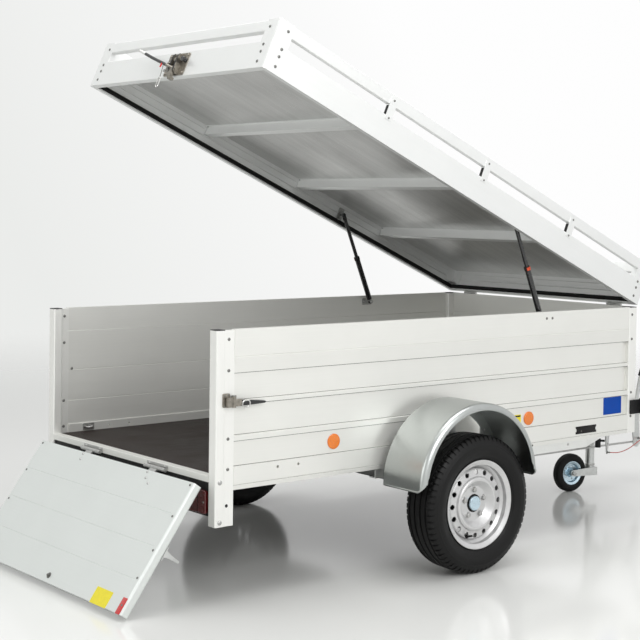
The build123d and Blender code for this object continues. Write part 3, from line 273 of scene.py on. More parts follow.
ALU = (0.80, 0.80, 0.765)
alu = anodised("aluminium", ALU)
# painted light and shade: the posts' copy is lighter and the tailgate's darker and greener than the walls'
# aluminium, for how brightly each is lit
alu_post = anodised("aluminium_post", (0.86, 0.86, 0.83), grain=(420, 420, 3))
alu_lid = anodised("aluminium_lid", (0.81, 0.82, 0.81), turn=-LID_OPEN)
alu_gate = anodised("aluminium_gate", (0.74, 0.77, 0.75), turn=GATE_OPEN, grain=(420, 3, 420))
zinc = plain("zinc", (0.46, 0.46, 0.45), 0.9, 0.34, 90, 0.1, 0.00002)
zinc_dark = plain("zinc_dark", (0.20, 0.20, 0.19), 0.8, 0.34, 120, 0.15)
zinc_latch = plain("zinc_latch", (0.27, 0.25, 0.215), 0.85, 0.32, 70, 0.25, 0.00004)
steel_bright = plain("steel_bright", (0.62, 0.62, 0.60), 1.0, 0.24, 120, 0.06)
guard = galvanised("mudguard_steel", (0.44, 0.46, 0.45), grain=45, rough=(0.3, 0.34), vary=0.025)
galv = galvanised("galvanised", (0.60, 0.61, 0.60))
galv_bright = galvanised("galvanised_bright", (0.86, 0.87, 0.85), rough=(0.36, 0.46), vary=0.03)
silver = plain("silver_paint", (0.60, 0.60, 0.60), 0.6, 0.36, 40, 0.04, 0.000015, (0.3, 0.15))
black_gloss = plain("black_gloss", (0.012, 0.012, 0.013), 0.0, 0.22, 60, 0.2, 0, (0.5, 0.1))
black_satin = plain("black_satin", (0.018, 0.018, 0.019), 0.0, 0.42, 80, 0.2, 0.00004)
cast_black = plain("cast_black", (0.022, 0.022, 0.024), 0.0, 0.45, 50, 0.2, 0.00012)
plastic_black = plain("plastic_black", (0.012, 0.012, 0.0125), 0.0, 0.5, 70, 0.15, 0.00005, specular=0.25)
rubber_black = plain("rubber_black", (0.0055, 0.0055, 0.0055), 0.0, 0.6, 60, 0.25, 0.00005, specular=0.22)
# painted shade: near-black for flat discs that stand in for the shadow inside open bores
painted_bore_shade = plain("painted_bore_shade", (0.01, 0.01, 0.01), 0.0, 0.7, 60, 0.2)
tyre_black = plain("tyre_black", (0.0055, 0.0055, 0.0055), 0.0, 0.5, 24, 0.3, 0.00007, specular=0.22)
blue_zinc = plain("blue_zinc", (0.55, 0.68, 0.76), 1.0, 0.3, 60, 0.08, 0.00002)
collar_red = plain("collar_red", (0.62, 0.07, 0.02), 0.0, 0.4, 80, 0.1)
tag_red = plain("tag_red", (0.60, 0.02, 0.02), 0.0, 0.45, 80, 0.12)
sticker_blue = plain("sticker_blue", (0.003, 0.060, 0.36), 0.0, 0.4, 60, 0.05, specular=0.15)
sticker_yellow = plain("sticker_yellow", (0.83, 0.72, 0.03), 0.0, 0.4, 60, 0.05)
plate_black = plain("plate_black", (0.010, 0.009, 0.009), 0.0, 0.42, 70, 0.12, 0.00003, specular=0.2)
white_plastic = plain("white_plastic", (0.72, 0.72, 0.70), 0.0, 0.4, 60, 0.04)
# painted shade: dark grey for the strips that stand in for the shadow under the wall's top rail and ribs
painted_rib_shade = plain("painted_rib_shade", (0.10, 0.10, 0.092), 0.3, 0.5, 90, 0.2)
cable_red = plain("cable_red", (0.42, 0.035, 0.02), 0.0, 0.3, 200, 0.1)
cable.data.materials.append(cable_red)


def lens(name, colour, rough=0.18):
    """Moulded reflector: a grid of small prisms seen through clear plastic."""
    paint = Paint(name, colour, 0.0, rough)
    cell = paint.cells((330, 330, 330), 0, "F1", "Distance")
    paint.tint(cell, shade(colour, 1.15), shade(colour, 0.7), 0.1, 0.8)
    paint.rough(cell, rough, rough + 0.12)
    paint.bump(cell, 0.0002, 0.5)
    paint.coat(0.7, 0.06)
    return paint.material


orange_lens = lens("orange_lens", (0.93, 0.22, 0.008))
red_lens = lens("red_lens", (0.10, 0.003, 0.004))
clear_lens = lens("clear_lens", (0.75, 0.75, 0.73))
red_strip = lens("red_strip", (0.66, 0.012, 0.012))


def floor_board():
    """Dark film-faced plywood with a fine pressed anti-slip grid."""
    paint = Paint("plywood_film", (0.03, 0.018, 0.014), 0.0, 0.5)
    paint.specular(0.12)
    cloud = paint.noise((6, 6, 6), 0, 5, 0.6)
    grain = paint.noise((4, 90, 60), 0, 3)
    mixed = paint.sum(paint.sum(cloud, 0.6, "MULTIPLY"), paint.sum(grain, 0.4, "MULTIPLY"))
    paint.tint(mixed, (0.014, 0.0095, 0.008), (0.026, 0.0175, 0.0145))
    paint.rough(mixed, 0.42, 0.58)
    weave = paint.nodes.new("ShaderNodeTexWave")
    weave.wave_type = "BANDS"
    weave.bands_direction = "DIAGONAL"
    weave.inputs["Scale"].default_value = 1
    paint.links.new(paint.mapped((180, 180, 1)), weave.inputs["Vector"])
    paint.bump(weave.outputs["Fac"], 0.00025, 0.6)
    return paint.material


def brushed_sheet():
    """Brushed aluminium sheet: long hairlines along the lid, with faint rolled bands."""
    paint = Paint("brushed_sheet", (0.62, 0.62, 0.61), 1.0, 0.34)
    hair = paint.noise((6, 900, 900), -LID_OPEN, 3, 0.7)
    band = paint.noise((0.8, 26, 26), -LID_OPEN, 3)
    cloud = paint.noise((4, 4, 4), -LID_OPEN, 4)
    mixed = paint.sum(paint.sum(hair, 0.4, "MULTIPLY"),
                      paint.sum(paint.sum(band, 0.3, "MULTIPLY"), paint.sum(cloud, 0.3, "MULTIPLY")))
    paint.tint(mixed, (0.50, 0.50, 0.49), (0.72, 0.72, 0.71), 0.35, 0.65)
    paint.rough(hair, 0.26, 0.42)
    paint.bump(hair, 0.00005, 0.6)
    paint.shader.inputs["Anisotropic"].default_value = 0.5
    return paint.material


def dress(material, *names):
    """Gives the material to CAD nodes."""
    for name in names:
        slots = nodes[name].material_slots
        for slot in slots:
            slot.material = material
        if not slots:
            nodes[name].data.materials.append(material)


dress(alu, "wall_planks", "top_rails", "floor_frame")
dress(alu_post, "corner_posts")
dress(plastic_black, "post_caps", "light_board", "marker_holders", "handbrake_grip", "plug_holder")
dress(floor_board(), "floor_board")
dress(galv_bright, "drawbar_arms")
dress(galv, "cross_members", "axle_beam", "trailing_arms", "mudguard_stays")
dress(guard, "mudguards")
dress(zinc, "lashing_rings", "jockey_crank", "tailgate_hinge_leaves", "tailgate_hinge_straps",
      "lid_hinge_leaves", "lid_hinge_straps", "lid_strut_brackets", "strut_brackets", "brake_rod")
dress(galv, "jockey_clamp", "jockey_tube", "jockey_fork", "handbrake_lever", "cable_bracket",
      "tailgate_strikers")
dress(zinc_latch, "side_latches", "lid_latch")
dress(alu_gate, "tailgate_panel", "tailgate_edges")
dress(alu_lid, "lid_panels", "lid_posts", "lid_rails", "lid_rail_brackets", "lid_cross_bars")
dress(brushed_sheet(), "lid_sheet")
dress(cast_black, "overrun_device", "coupling_head", "coupling_handle", "hub_left", "hub_right")
dress(rubber_black, "gaiter", "jockey_tyre")
dress(silver, "rim_left", "rim_right")
dress(tyre_black, "tyre_left", "tyre_right")
dress(blue_zinc, "jockey_rim")
dress(black_gloss, "strut_barrel_left", "strut_barrel_right", "strut_rod_left", "strut_rod_right")
dress(red_lens, "rear_lamps")
dress(clear_lens, "marker_lamps")


# ---- mesh kit: every piece is drawn in road millimetres ----
def aim(point, normal, spin=0):
    """Places local Z along normal at point."""
    turn = Vector(normal).to_track_quat("Z", "Y").to_matrix().to_4x4()
    return Matrix.Translation(Vector(point)) @ turn @ Matrix.Rotation(spin, 4, "Z")


def merge(target, other, matrix=Matrix.Identity(4)):
    """Copies the mesh of other into target."""
    other.transform(matrix)
    mesh = bpy.data.meshes.new("part")
    other.to_mesh(mesh)
    other.free()
    target.from_mesh(mesh)
    bpy.data.meshes.remove(mesh)


def lathe(target, profile, matrix, count=28):
    """Revolves (radius, height) points round local Z; a radius of 0 closes the form."""
    bm = bmesh.new()
    rings = []
    for radius, height in profile:
        if radius == 0:
            rings.append([bm.verts.new((0, 0, height))])
        else:
            steps = [2 * pi * i / count for i in range(count)]
            rings.append([bm.verts.new((radius * cos(a), radius * sin(a), height)) for a in steps])
    for low, high in zip(rings, rings[1:]):
        for i in range(count):
            j = (i + 1) % count
            ring = [low[i % len(low)], low[j % len(low)], high[j % len(high)], high[i % len(high)]]
            bm.faces.new(list(dict.fromkeys(ring)))
    bmesh.ops.recalc_face_normals(bm, faces=bm.faces)
    merge(target, bm, matrix)


def slab(target, points, low, high, matrix=Matrix.Identity(4), bevel=0.8, steps=2):
    """Extrudes a flat outline from low to high along local Z and eases its rims."""
    bm = bmesh.new()
    bottom = bm.faces.new([bm.verts.new((x, y, low)) for x, y in points])
    top = bmesh.ops.extrude_face_region(bm, geom=[bottom])["geom"]
    verts = [item for item in top if isinstance(item, bmesh.types.BMVert)]
    bmesh.ops.translate(bm, verts=verts, vec=(0, 0, high - low))
    bmesh.ops.recalc_face_normals(bm, faces=bm.faces)
    if bevel:
        rims = [e for e in bm.edges if abs(e.verts[0].co.z - e.verts[1].co.z) < 1e-6]
        bmesh.ops.bevel(bm, geom=rims, offset=bevel, segments=steps, affect="EDGES", profile=0.5)
    merge(target, bm, matrix)


def round_outline(width, height, radius, steps=5, x=0, y=0):
    """Rectangle with rounded corners, as outline points."""
    points = []
    for cx, cy, start in ((1, 1, 0), (-1, 1, 90), (-1, -1, 180), (1, -1, 270)):
        for i in range(steps + 1):
            a = radians(start + 90 * i / steps)
            points.append((x + cx * (width / 2 - radius) + radius * cos(a),
                           y + cy * (height / 2 - radius) + radius * sin(a)))
    return points


def brick(target, low, high, bevel=1.0, steps=2):
    """Box between two corners with eased edges."""
    bm = bmesh.new()
    bmesh.ops.create_cube(bm, size=1)
    size = [b - a for a, b in zip(low, high)]
    middle = [(a + b) / 2 for a, b in zip(low, high)]
    bmesh.ops.scale(bm, vec=size, verts=bm.verts)
    bmesh.ops.translate(bm, vec=middle, verts=bm.verts)
    if bevel:
        bmesh.ops.bevel(bm, geom=bm.edges[:], offset=bevel, segments=steps, affect="EDGES", profile=0.5)
    merge(target, bm)


def smooth_line(points, steps=6):
    """Points of a Catmull-Rom curve through the given ones."""
    p = [Vector(q) for q in points]
    p = [2 * p[0] - p[1]] + p + [2 * p[-1] - p[-2]]
    line = []
    for i in range(1, len(p) - 2):
        for k in range(steps):
            t = k / steps
            a, b, c, d = p[i - 1:i + 3]
            line.append(0.5 * (2 * b + (c - a) * t + (2 * a - 5 * b + 4 * c - d) * t * t
                               + (3 * b - a - 3 * c + d) * t ** 3))
    return line + [p[-2]]


def tube(target, points, radius, count=12, smooth=0, closed=False, taper=None):
    """Round tube along points, with flat ends or closed on itself."""
    line = smooth_line(points, smooth) if smooth else [Vector(q) for q in points]
    bm = bmesh.new()
    n = len(line)
    side = None
    rings = []
    for i, point in enumerate(line):
        before = line[i - 1] if i or closed else point
        after = line[(i + 1) % n] if i < n - 1 or closed else point
        run = (after - before).normalized()
        if side is None:
            side = run.orthogonal().normalized()
        side = (side - run * side.dot(run)).normalized()
        other = run.cross(side)
        r = radius if taper is None else radius + (taper - radius) * i / (n - 1)
        turns = [2 * pi * k / count for k in range(count)]
        rings.append([bm.verts.new(point + r * (side * cos(a) + other * sin(a))) for a in turns])
    pairs = list(zip(rings, rings[1:])) + ([(rings[-1], rings[0])] if closed else [])
    for a, b in pairs:
        for k in range(count):
            j = (k + 1) % count
            bm.faces.new((a[k], a[j], b[j], b[k]))
    if not closed:
        bm.faces.new(rings[0][::-1])
        bm.faces.new(rings[-1])
    bmesh.ops.recalc_face_normals(bm, faces=bm.faces)
    merge(target, bm)


def piece(name, bm, material, body, matrix=ROAD, angle=32):
    """Turns a drawn mesh into a named piece that rides on a body."""
    bm.transform(matrix)
    mesh = bpy.data.meshes.new(name)
    bm.to_mesh(mesh)
    bm.free()
    for polygon in mesh.polygons:
        polygon.use_smooth = True
    mesh.set_sharp_from_angle(angle=radians(angle))
    mesh.materials.append(material)
    thing = bpy.data.objects.new(name, mesh)
    bpy.context.collection.objects.link(thing)
    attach(thing, body)
    return thing


def hex_points(flats, turn=0):
    """Hexagon's corners, from its width across flats."""
    r = flats / 2 / cos(pi / 6)
    return [(r * cos(pi / 3 * i + turn), r * sin(pi / 3 * i + turn)) for i in range(6)]


def pan_screw(bm, point, normal, r=6.4):
    """Domed head with a driver recess."""
    m = aim(point, normal)
    lathe(bm, [(r, -0.6), (r, 0.4), (r * 0.93, 1.5), (r * 0.72, 2.5), (r * 0.42, 3.0), (r * 0.4, 3.0),
               (r * 0.36, 1.2), (0, 1.0)], m, 18)


def hex_bolt(bm, point, normal, flats=13, spin=0.3):
    """Washer, hexagon head with a chamfer, and a short thread end."""
    m = aim(point, normal, spin)
    lathe(bm, [(flats * 0.92, -0.5), (flats * 0.92, 1.4), (flats * 0.86, 1.9), (0, 1.9)], m, 28)
    slab(bm, hex_points(flats), 1.8, 7.2, m, 0.7)
    lathe(bm, [(flats * 0.29, 7), (flats * 0.29, 10), (flats * 0.24, 10.8), (0, 10.8)], m, 16)


def dome_bolt(bm, point, normal, r=9):
    """Low round bolt head with an eased rim."""
    m = aim(point, normal)
    lathe(bm, [(r, -0.5), (r, 0.3), (r * 0.9, 2), (r * 0.66, 3.4), (r * 0.33, 4.2), (0, 4.4)], m, 24)


def rivet(bm, point, normal, r=4):
    """Blind rivet with a dimple where its pin broke off."""
    m = aim(point, normal)
    lathe(bm, [(r, -0.5), (r, 0.2), (r * 0.8, 1.2), (r * 0.45, 1.6), (r * 0.3, 1.2), (0, 1.1)], m, 14)


SIDES = (("right", -1), ("left", 1))


def cable_ends():
    """Crimped sleeve and thimble washer at each end of the breakaway cable."""
    ends = bmesh.new()
    for spot, out in ((CABLE_ROUTE[0], (0, -1, 0)), (CABLE_ROUTE[-1], (0.4545, -0.8907, 0))):
        m = aim(ROAD.inverted() @ Vector(spot), out)
        lathe(ends, [(7.5, 0), (7.5, 1.2), (6.6, 1.8), (4.2, 2), (3.9, 3), (3.9, 13), (3.2, 14.4),
                     (2.3, 14.6)], m, 20)
    return piece("cable_ferrules", ends, zinc_dark, "chassis")


cable_ends()


# ---- tyres ----
def tyre_piece(name, sign, node, body):
    """Road tyre: four grooves round it, cut shoulder blocks, ribs and rim-guard line on the walls."""
    half, top = 87.5, 284.0
    seat, bead = 167.0, 62.0
    section = [(bead - 7, seat + 1), (bead, seat), (bead + 2, seat + 6), (bead + 4, 184), (bead + 8, 189),
               (bead + 12.5, 195), (bead + 13.5, 196), (bead + 15, 195.7), (bead + 18, 202),
               (bead + 21, 210), (bead + 23.2, 220), (bead + 24.6, 224), (bead + 24.7, 225.4),
               (half - 0.6, 227), (half - 0.3, 236), (half - 1.6, 246), (half - 1.2, 247),
               (half - 2.2, 248.5), (half - 4.5, 256), (half - 8, 263), (half - 11, 268),
               (half - 13.5, 272.5), (half - 16.5, 276.5), (half - 20, 279.6), (half - 25, 281.2)]
    grooves = ((46.0, 8.0), (16.5, 9.0))
    crown = [(half - 30, 281.9)]
    for centre, width in grooves:
        crown += [(centre + width / 2, None), (centre + width / 2 - 1.6, -7.5),
                  (centre - width / 2 + 1.6, -7.5), (centre - width / 2, None)]
    crown.append((0, None))

    def on_crown(y, drop):
        return top - 2.4 * (y / 60) ** 2 - 0.1 + (drop or 0)

    right_side = section + [(y, r if r and r > 0 else on_crown(y, r)) for y, r in crown]
    outline = right_side + [(-y, r) for y, r in right_side[::-1][1:]]
    pitches = 68
    stations = []
    for p in range(pitches):
        for share, cut in ((0.0, 0), (0.66, 0), (0.71, 1), (0.92, 1), (0.97, 0)):
            stations.append(((p + share) / pitches * 2 * pi, cut))
    bm = bmesh.new()
    rings = []
    for angle, cut in stations:
        ring = []
        for y, r in outline:
            depth, lean = 0.0, 0.0
            side = abs(y)
            if cut:
                if 50.5 < side < 80 and r > 262:
                    depth = min(6.0, (r - 262) * 0.55)
                elif 21 < side < 41.5:
                    depth = 3.2
            if side < 55:
                lean = 0.030 * (side / 50)
            elif r > 262:
                lean = 0.033
            a = angle + lean * (1 if y > 0 else -1)
            ring.append(bm.verts.new((AXLE_X + (r - depth) * cos(a), sign * WHEEL_Y + y,
                                      WHEEL_R + (r - depth) * sin(a))))
        rings.append(ring)
    for a, b in zip(rings, rings[1:] + rings[:1]):
        for i in range(len(outline) - 1):
            bm.faces.new((a[i], a[i + 1], b[i + 1], b[i]))
    bmesh.ops.recalc_face_normals(bm, faces=bm.faces)
    thing = piece(name, bm, tyre_black, body, angle=26)
    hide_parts(node)
    return thing


def wheel_details(side, sign):
    """Wheel bolts in their seats, hub cap with its ring, and valve."""
    body = f"wheel_{side}"
    face = sign * WHEEL_FACE
    out = (0, sign, 0)
    bolts, seats = bmesh.new(), bmesh.new()
    for i in range(STUD_COUNT):
        a = pi / 2 + 2 * pi / STUD_COUNT * i
        centre = (AXLE_X + STUD_CIRCLE * cos(a), face, WHEEL_R + STUD_CIRCLE * sin(a))
        m = aim(centre, out, a)
        lathe(bolts, [(10.5, -3), (11, 0.6), (9.6, 2.6), (0, 2.6)], m, 24)
        slab(bolts, hex_points(17), 2.4, 11.5, m, 1.4, 3)
        lathe(seats, [(15.5, -0.4), (15, 0.8), (13.4, 1.3), (12, 0.7), (11.2, -0.4)], aim(centre, out), 28)
    piece(f"wheel_bolts_{side}", bolts, zinc, body)
    piece(f"bolt_seats_{side}", seats, silver, body)
    ring = bmesh.new()
    m = aim((AXLE_X, face, WHEEL_R), out)
    lathe(ring, [(37, -1), (37, 1.2), (35.6, 2.2), (33.5, 2.0), (32.6, -1), (30.6, -3), (30.2, 2.0)], m, 48)
    piece(f"hub_ring_{side}", ring, rubber_black, body)
    cap = bmesh.new()
    lathe(cap, [(29.9, -2), (29.9, 9.2), (28.8, 11.4), (26.4, 12.6), (24.6, 12.9), (23.4, 12.5), (14, 13.2),
                (6, 13.6), (0, 13.7)], m, 48)
    piece(f"hub_cap_{side}", cap, blue_zinc, body)
    valve = bmesh.new()
    a = radians(250)
    root = Vector((AXLE_X + 139 * cos(a), sign * (WHEEL_Y + 45), WHEEL_R + 139 * sin(a)))
    lean = Vector((-0.3 * cos(a), sign * 1.0, -0.3 * sin(a))).normalized()
    lathe(valve, [(7.6, -2), (7.6, 2), (5.2, 6), (4.1, 14), (4.1, 22), (3.4, 22.4), (4.2, 23), (4.2, 29),
                  (3.4, 30.4), (0, 30.6)], aim(root, lean), 20)
    piece(f"valve_{side}", valve, rubber_black, body)


for side, sign in SIDES:
    tyre_piece(f"tyre_tread_{side}", sign, f"tyre_{side}", f"wheel_{side}")
    wheel_details(side, sign)


# ---- fixings on the box ----
def box_fixings():
    """Screws of posts, strut plates and lashing rings, the rivets of the front, and flat dark discs of
    painted shade over the open bores.
    """
    screws, bolts = bmesh.new(), bmesh.new()
    for _, sign in SIDES:
        out, inward = (0, sign, 0), (0, -sign, 0)
        for z in (997.5, 880.5, 624.5, 510.5):
            pan_screw(screws, (56, sign * 648.5, z), out)
            pan_screw(screws, (60, sign * WALL_INSIDE, z), inward)
            pan_screw(screws, (LENGTH - 36, sign * HALF, z), out)
        pan_screw(screws, (98, sign * WALL_INSIDE, 764), inward)
        for x in (1793, 1831):
            pan_screw(screws, (x, sign * HALF, 1003.5), out, 6.2)
        for z in (464.5, 314.5):
            dome_bolt(bolts, (21, sign * HALF, z), out, 9.5)
        for x in (1440, 1980):
            pan_screw(screws, (x + 60, sign * HALF, 470), out, 3.6)
        for x in (180, 1215, 2250):
            for dx in (-22, 22):
                pan_screw(screws, (x + dx, sign * 615, 501), inward, 3.8)
    for y in (-560, -420, 420, 560):
        for z in (985, 900):
            rivet(screws, (LENGTH, y, z), (1, 0, 0), 5)
    piece("box_screws", screws, zinc_dark, "chassis")
    piece("post_bolts", bolts, zinc, "chassis")
    # painted shade: flat dark discs where the posts' bores are, for the shadow inside them
    bore_shade_discs = bmesh.new()
    for _, sign in SIDES:
        lathe(bore_shade_discs, [(6.5, 0), (6.5, 0.25), (0, 0.25)], aim((52, sign * 648.6, 374.5), (0, sign, 0)), 24)
        lathe(bore_shade_discs, [(4, 0), (4, 0.2), (0, 0.2)], aim((1712, sign * 649.9, 436), (0, sign, 0)), 16)
    piece("post_hole_shade", bore_shade_discs, painted_bore_shade, "chassis")


def painted_rib_shadows():
    """Painted shadow along the plank joints: thin dark strips under the top rail, under each standing rib and
    over the floor profile.
    """
    shade_strips = bmesh.new()
    x0, x1 = 82, LENGTH - 56
    for z, high, depth in ((867.4, 2.6, 7.6), (748.9, 3.0, 7.6), (611.1, 3.0, 7.6), (519.0, 1.6, 7.6),
                           (768.0, 1.4, 7.7), (636.2, 1.4, 7.7), (446.6, 1.6, 0.5)):
        face = HALF - depth
        for _, sign in SIDES:
            ya, yb = sorted((sign * face, sign * (face - 0.6)))
            brick(shade_strips, (x0, ya, z), (x1, yb, z + high), 0)
        brick(shade_strips, (LENGTH - depth - 0.6, -(HALF - 47), z), (LENGTH - depth, HALF - 47, z + high), 0)
    piece("painted_rib_shadows", shade_strips, painted_rib_shade, "chassis")


def reflectors():
    """Round side reflectors with moulded rims."""
    discs, rims = bmesh.new(), bmesh.new()
    for _, sign in SIDES:
        for x, z in ((568, 565.5), (1691, 559.5)):
            m = aim((x, sign * PLANK_FACE, z), (0, sign, 0))
            lathe(discs, [(28, 0), (28, 4.4), (26.6, 5.8), (14, 6.6), (0, 6.8)], m, 48)
            lathe(rims, [(30.5, -0.2), (30.5, 3.4), (29.6, 4.6), (28.2, 4.8), (28.0, 0)], m, 48)
    piece("side_reflectors", discs, orange_lens, "chassis")
    piece("reflector_rims", rims, orange_lens, "chassis")


def labels():
    """Blank stickers and the notched blank plate on the right-hand wall."""
    blue, yellow, plate, heading = (bmesh.new() for _ in range(4))
    place = Matrix.Translation((0, -PLANK_FACE, 0)) @ Matrix.Rotation(pi / 2, 4, "X")
    slab(blue, round_outline(130, 81, 3, 3, 2268, 570), 0, 0.5, place, 0)
    slab(yellow, round_outline(45, 54, 3, 3, 1620, 554), 0, 0.5, place, 0)
    slab(heading, round_outline(39, 7, 1, 2, 1620, 574), 0.4, 0.7, place, 0)
    piece("blank_blue_label", blue, sticker_blue, "chassis")
    piece("blank_yellow_label", yellow, sticker_yellow, "chassis")
    piece("yellow_label_band", heading, plate_black, "chassis")
    place = Matrix.Translation((0, -HALF, 0)) @ Matrix.Rotation(pi / 2, 4, "X")
    x0, x1, z0, z1, notch = 2001, 2144, 458, 493, 6
    middle = (z0 + z1) / 2
    edge = [(x0, z0), (x1, z0), (x1, middle - 9), (x1 - notch, middle - 5), (x1 - notch, middle + 5),
            (x1, middle + 9), (x1, z1), (x0, z1), (x0, middle + 9), (x0 + notch, middle + 5),
            (x0 + notch, middle - 5), (x0, middle - 9)]
    slab(plate, edge, 0, 1.6, place, 0.5)
    for x in (x0 + 16, x1 - 16):
        rivet(plate, (x, -651.4, middle), (0, -1, 0), 3)
    piece("blank_plate", plate, plate_black, "chassis")


box_fixings()
painted_rib_shadows()
reflectors()
labels()


# ---- mudguards: rolled rim and stay bolts ----
def guard_rims():
    """Rolled wire edge round each mudguard's rounded corners, and its stay bolts."""
    cx, cz, r, shoulder, corner = AXLE_X - 24, WHEEL_R + 91, 330, 24, 50.5
    rim, bolts = bmesh.new(), bmesh.new()
    for _, sign in SIDES:
        bend = []
        for i in range(10):
            a = radians(8 + 80 * i / 9)
            y, z = min(GUARD_EDGE - 1, GUARD_EDGE - corner + 52 * cos(a)), corner - 52 * sin(a)
            past = y - GUARD_EDGE + shoulder
            lip = r if past < 0 else r - shoulder + (shoulder ** 2 - past ** 2) ** 0.5
            bend.append((((lip - 2) ** 2 - max(z, 1) ** 2) ** 0.5, min(y, GUARD_EDGE - 4), max(z, 2)))
        foot = [(r - 2, y, 2) for y in (705, 760, 820, 860)]
        arc = [((r - 26) * cos(a), GUARD_EDGE - 4, (r - 26) * sin(a))
               for a in [radians(12 + 156 * i / 60) for i in range(61)]]
        front = foot + bend[::-1]
        path = front + arc + [(-x, y, z) for x, y, z in front[::-1]]
        tube(rim, [(cx + x, sign * y, cz + z) for x, y, z in path], 4.2, 10)
        for x in (cx - 0.72 * r, cx + 0.16 * r, cx + 0.72 * r):
            for z in (467, 487):
                hex_bolt(bolts, (x, sign * (HALF + 5), z), (0, sign, 0), 10)
            top = cz + (r * r - (abs(x - cx) + 18) ** 2) ** 0.5 - 38
            dome_bolt(bolts, (x, sign * 702, top), (0, sign, 0), 6)
    piece("mudguard_rims", rim, guard, "chassis")
    piece("mudguard_bolts", bolts, zinc, "chassis")


guard_rims()


# ---- tailgate ----
def gate_details():
    """Edge screws, hinge bolts and blank stickers on the tailgate, and its hinge leaves' bolts."""
    screws, bolts, label, strip, leaves = (bmesh.new() for _ in range(5))
    for _, sign in SIDES:
        for s in (12, 143, 283, 395, 504):
            pan_screw(screws, (GATE_INNER, sign * 578, GATE_Z + s), (1, 0, 0), 4.8)
            pan_screw(screws, (GATE_OUTER, sign * 578, GATE_Z + s), (-1, 0, 0), 4.8)
        for dy in (-55, 0, 55):
            hex_bolt(bolts, (-6, sign * GATE_HINGE_Y + dy, GATE_Z + 38), (-1, 0, 0), 10)
    for y, z in ((228, 502), (225, 527), (-275, 502), (-286, 526), (-318, 544)):
        dome_bolt(bolts, (GATE_INNER, y, z), (1, 0, 0), 5.5)
    hex_bolt(screws, (GATE_INNER, -34, GATE_Z + 509), (1, 0, 0), 13)
    piece("tailgate_screws", screws, zinc_dark, "tailgate", GATE)
    piece("tailgate_bolts", bolts, zinc, "tailgate", GATE)
    place = Matrix(((0, 0, 1, GATE_INNER), (1, 0, 0, 0), (0, 1, 0, 0), (0, 0, 0, 1)))
    slab(label, round_outline(114, 64, 3, 3, -434, 1000), 0, 0.5, place, 0)
    piece("blank_gate_label", label, sticker_yellow, "tailgate", GATE)
    slab(strip, round_outline(30, 64, 3, 3, -577, 1000), 0, 0.9, place, 0.3)
    piece("gate_red_strip", strip, red_strip, "tailgate", GATE)
    for _, sign in SIDES:
        for dy in (-55, 55):
            dome_bolt(leaves, (-3, sign * GATE_HINGE_Y + dy, 477), (-1, 0, 0), 5)
    piece("gate_leaf_bolts", leaves, zinc, "chassis")


gate_details()


# ---- lid ----
def lid_details():
    """Post screws, rail brackets' spacers and bolts, and the strut plates' bolts."""
    screws, spacer, bolts = bmesh.new(), bmesh.new(), bmesh.new()
    for _, sign in SIDES:
        out = (0, sign, 0)
        for h in (28, 70, 101, 178):
            for x in (LID_REAR + 52, LENGTH - 52):
                pan_screw(screws, (x, sign * LID_HALF, LID_Z + h), out)
            for x, nx in ((LID_REAR, -1), (LENGTH, 1)):
                pan_screw(screws, (x, sign * (LID_HALF - 52), LID_Z + h), (nx, 0, 0))
        for s in LID_BRACKETS:
            x = LID_AXIS[0] - s
            for h in (104, 182):
                pan_screw(screws, (x, sign * (LID_HALF + 3), LID_Z + h), out, 4.8)
            ya, yb = sorted((sign * 634, sign * 656))
            brick(spacer, (x - 15, ya, LID_Z + 114), (x + 15, yb, LID_Z + 157), 1.5)
            for dx in (-19, 19):
                dome_bolt(bolts, (x + dx, sign * 622, LID_Z + 104.4), (0, 0, -1), 4.5)
        x = LID_AXIS[0] + STRUT_ON_LID[0]
        for dz in (-25, 25):
            dome_bolt(bolts, (x, sign * 626, LID_Z + STRUT_ON_LID[1] + dz), (0, -sign, 0), 4.5)
    piece("lid_screws", screws, zinc_dark, "lid", LID)
    piece("lid_rail_spacers", spacer, plastic_black, "lid", LID)
    piece("lid_bolts", bolts, zinc, "lid", LID)


def lid_seal():
    """Rubber seal with a rounded lip, mitred round the inside of the lid's lower edge."""
    seal = bmesh.new()
    x0, x1, y = 10 + 0.4, LENGTH - 25 - 0.4, LID_HALF - 25 - 0.4
    path = [(x0, -y), (x1, -y), (x1, y), (x0, y)]
    lip = 9
    for (ax, ay), (bx, by) in zip(path, path[1:] + path[:1]):
        run = Vector((bx - ax, by - ay, 0)).normalized()
        across = Vector((0, 0, 1)).cross(run)
        bm = bmesh.new()
        shape = [(0, 6), (4, 7), (lip, 12), (lip + 1, 16), (lip - 1, 21), (4, 26), (0, 27)]
        ends = []
        for px, py, sx in ((ax, ay, 1), (bx, by, -1)):
            ends.append([bm.verts.new(Vector((px, py, LID_Z + h)) + across * d + run * d * sx)
                         for d, h in shape])
        for i in range(len(shape) - 1):
            bm.faces.new((ends[0][i], ends[0][i + 1], ends[1][i + 1], ends[1][i]))
        bmesh.ops.recalc_face_normals(bm, faces=bm.faces)
        merge(seal, bm)
    piece("lid_seal", seal, rubber_black, "lid", LID)


def lid_corner_plates():
    """Stiffening plate in each corner under the lid."""
    bracket = bmesh.new()
    for _, sign in SIDES:
        for x, nx in ((LENGTH - 26, -1), (11, 1)):
            (xa, xb), (ya, yb) = sorted((x, x + nx * 42)), sorted((sign * 588, sign * 629))
            brick(bracket, (xa, ya, LID_Z + 30), (xb, yb, LID_Z + 33), 1)
    piece("lid_corner_plates", bracket, alu_lid, "lid", LID)


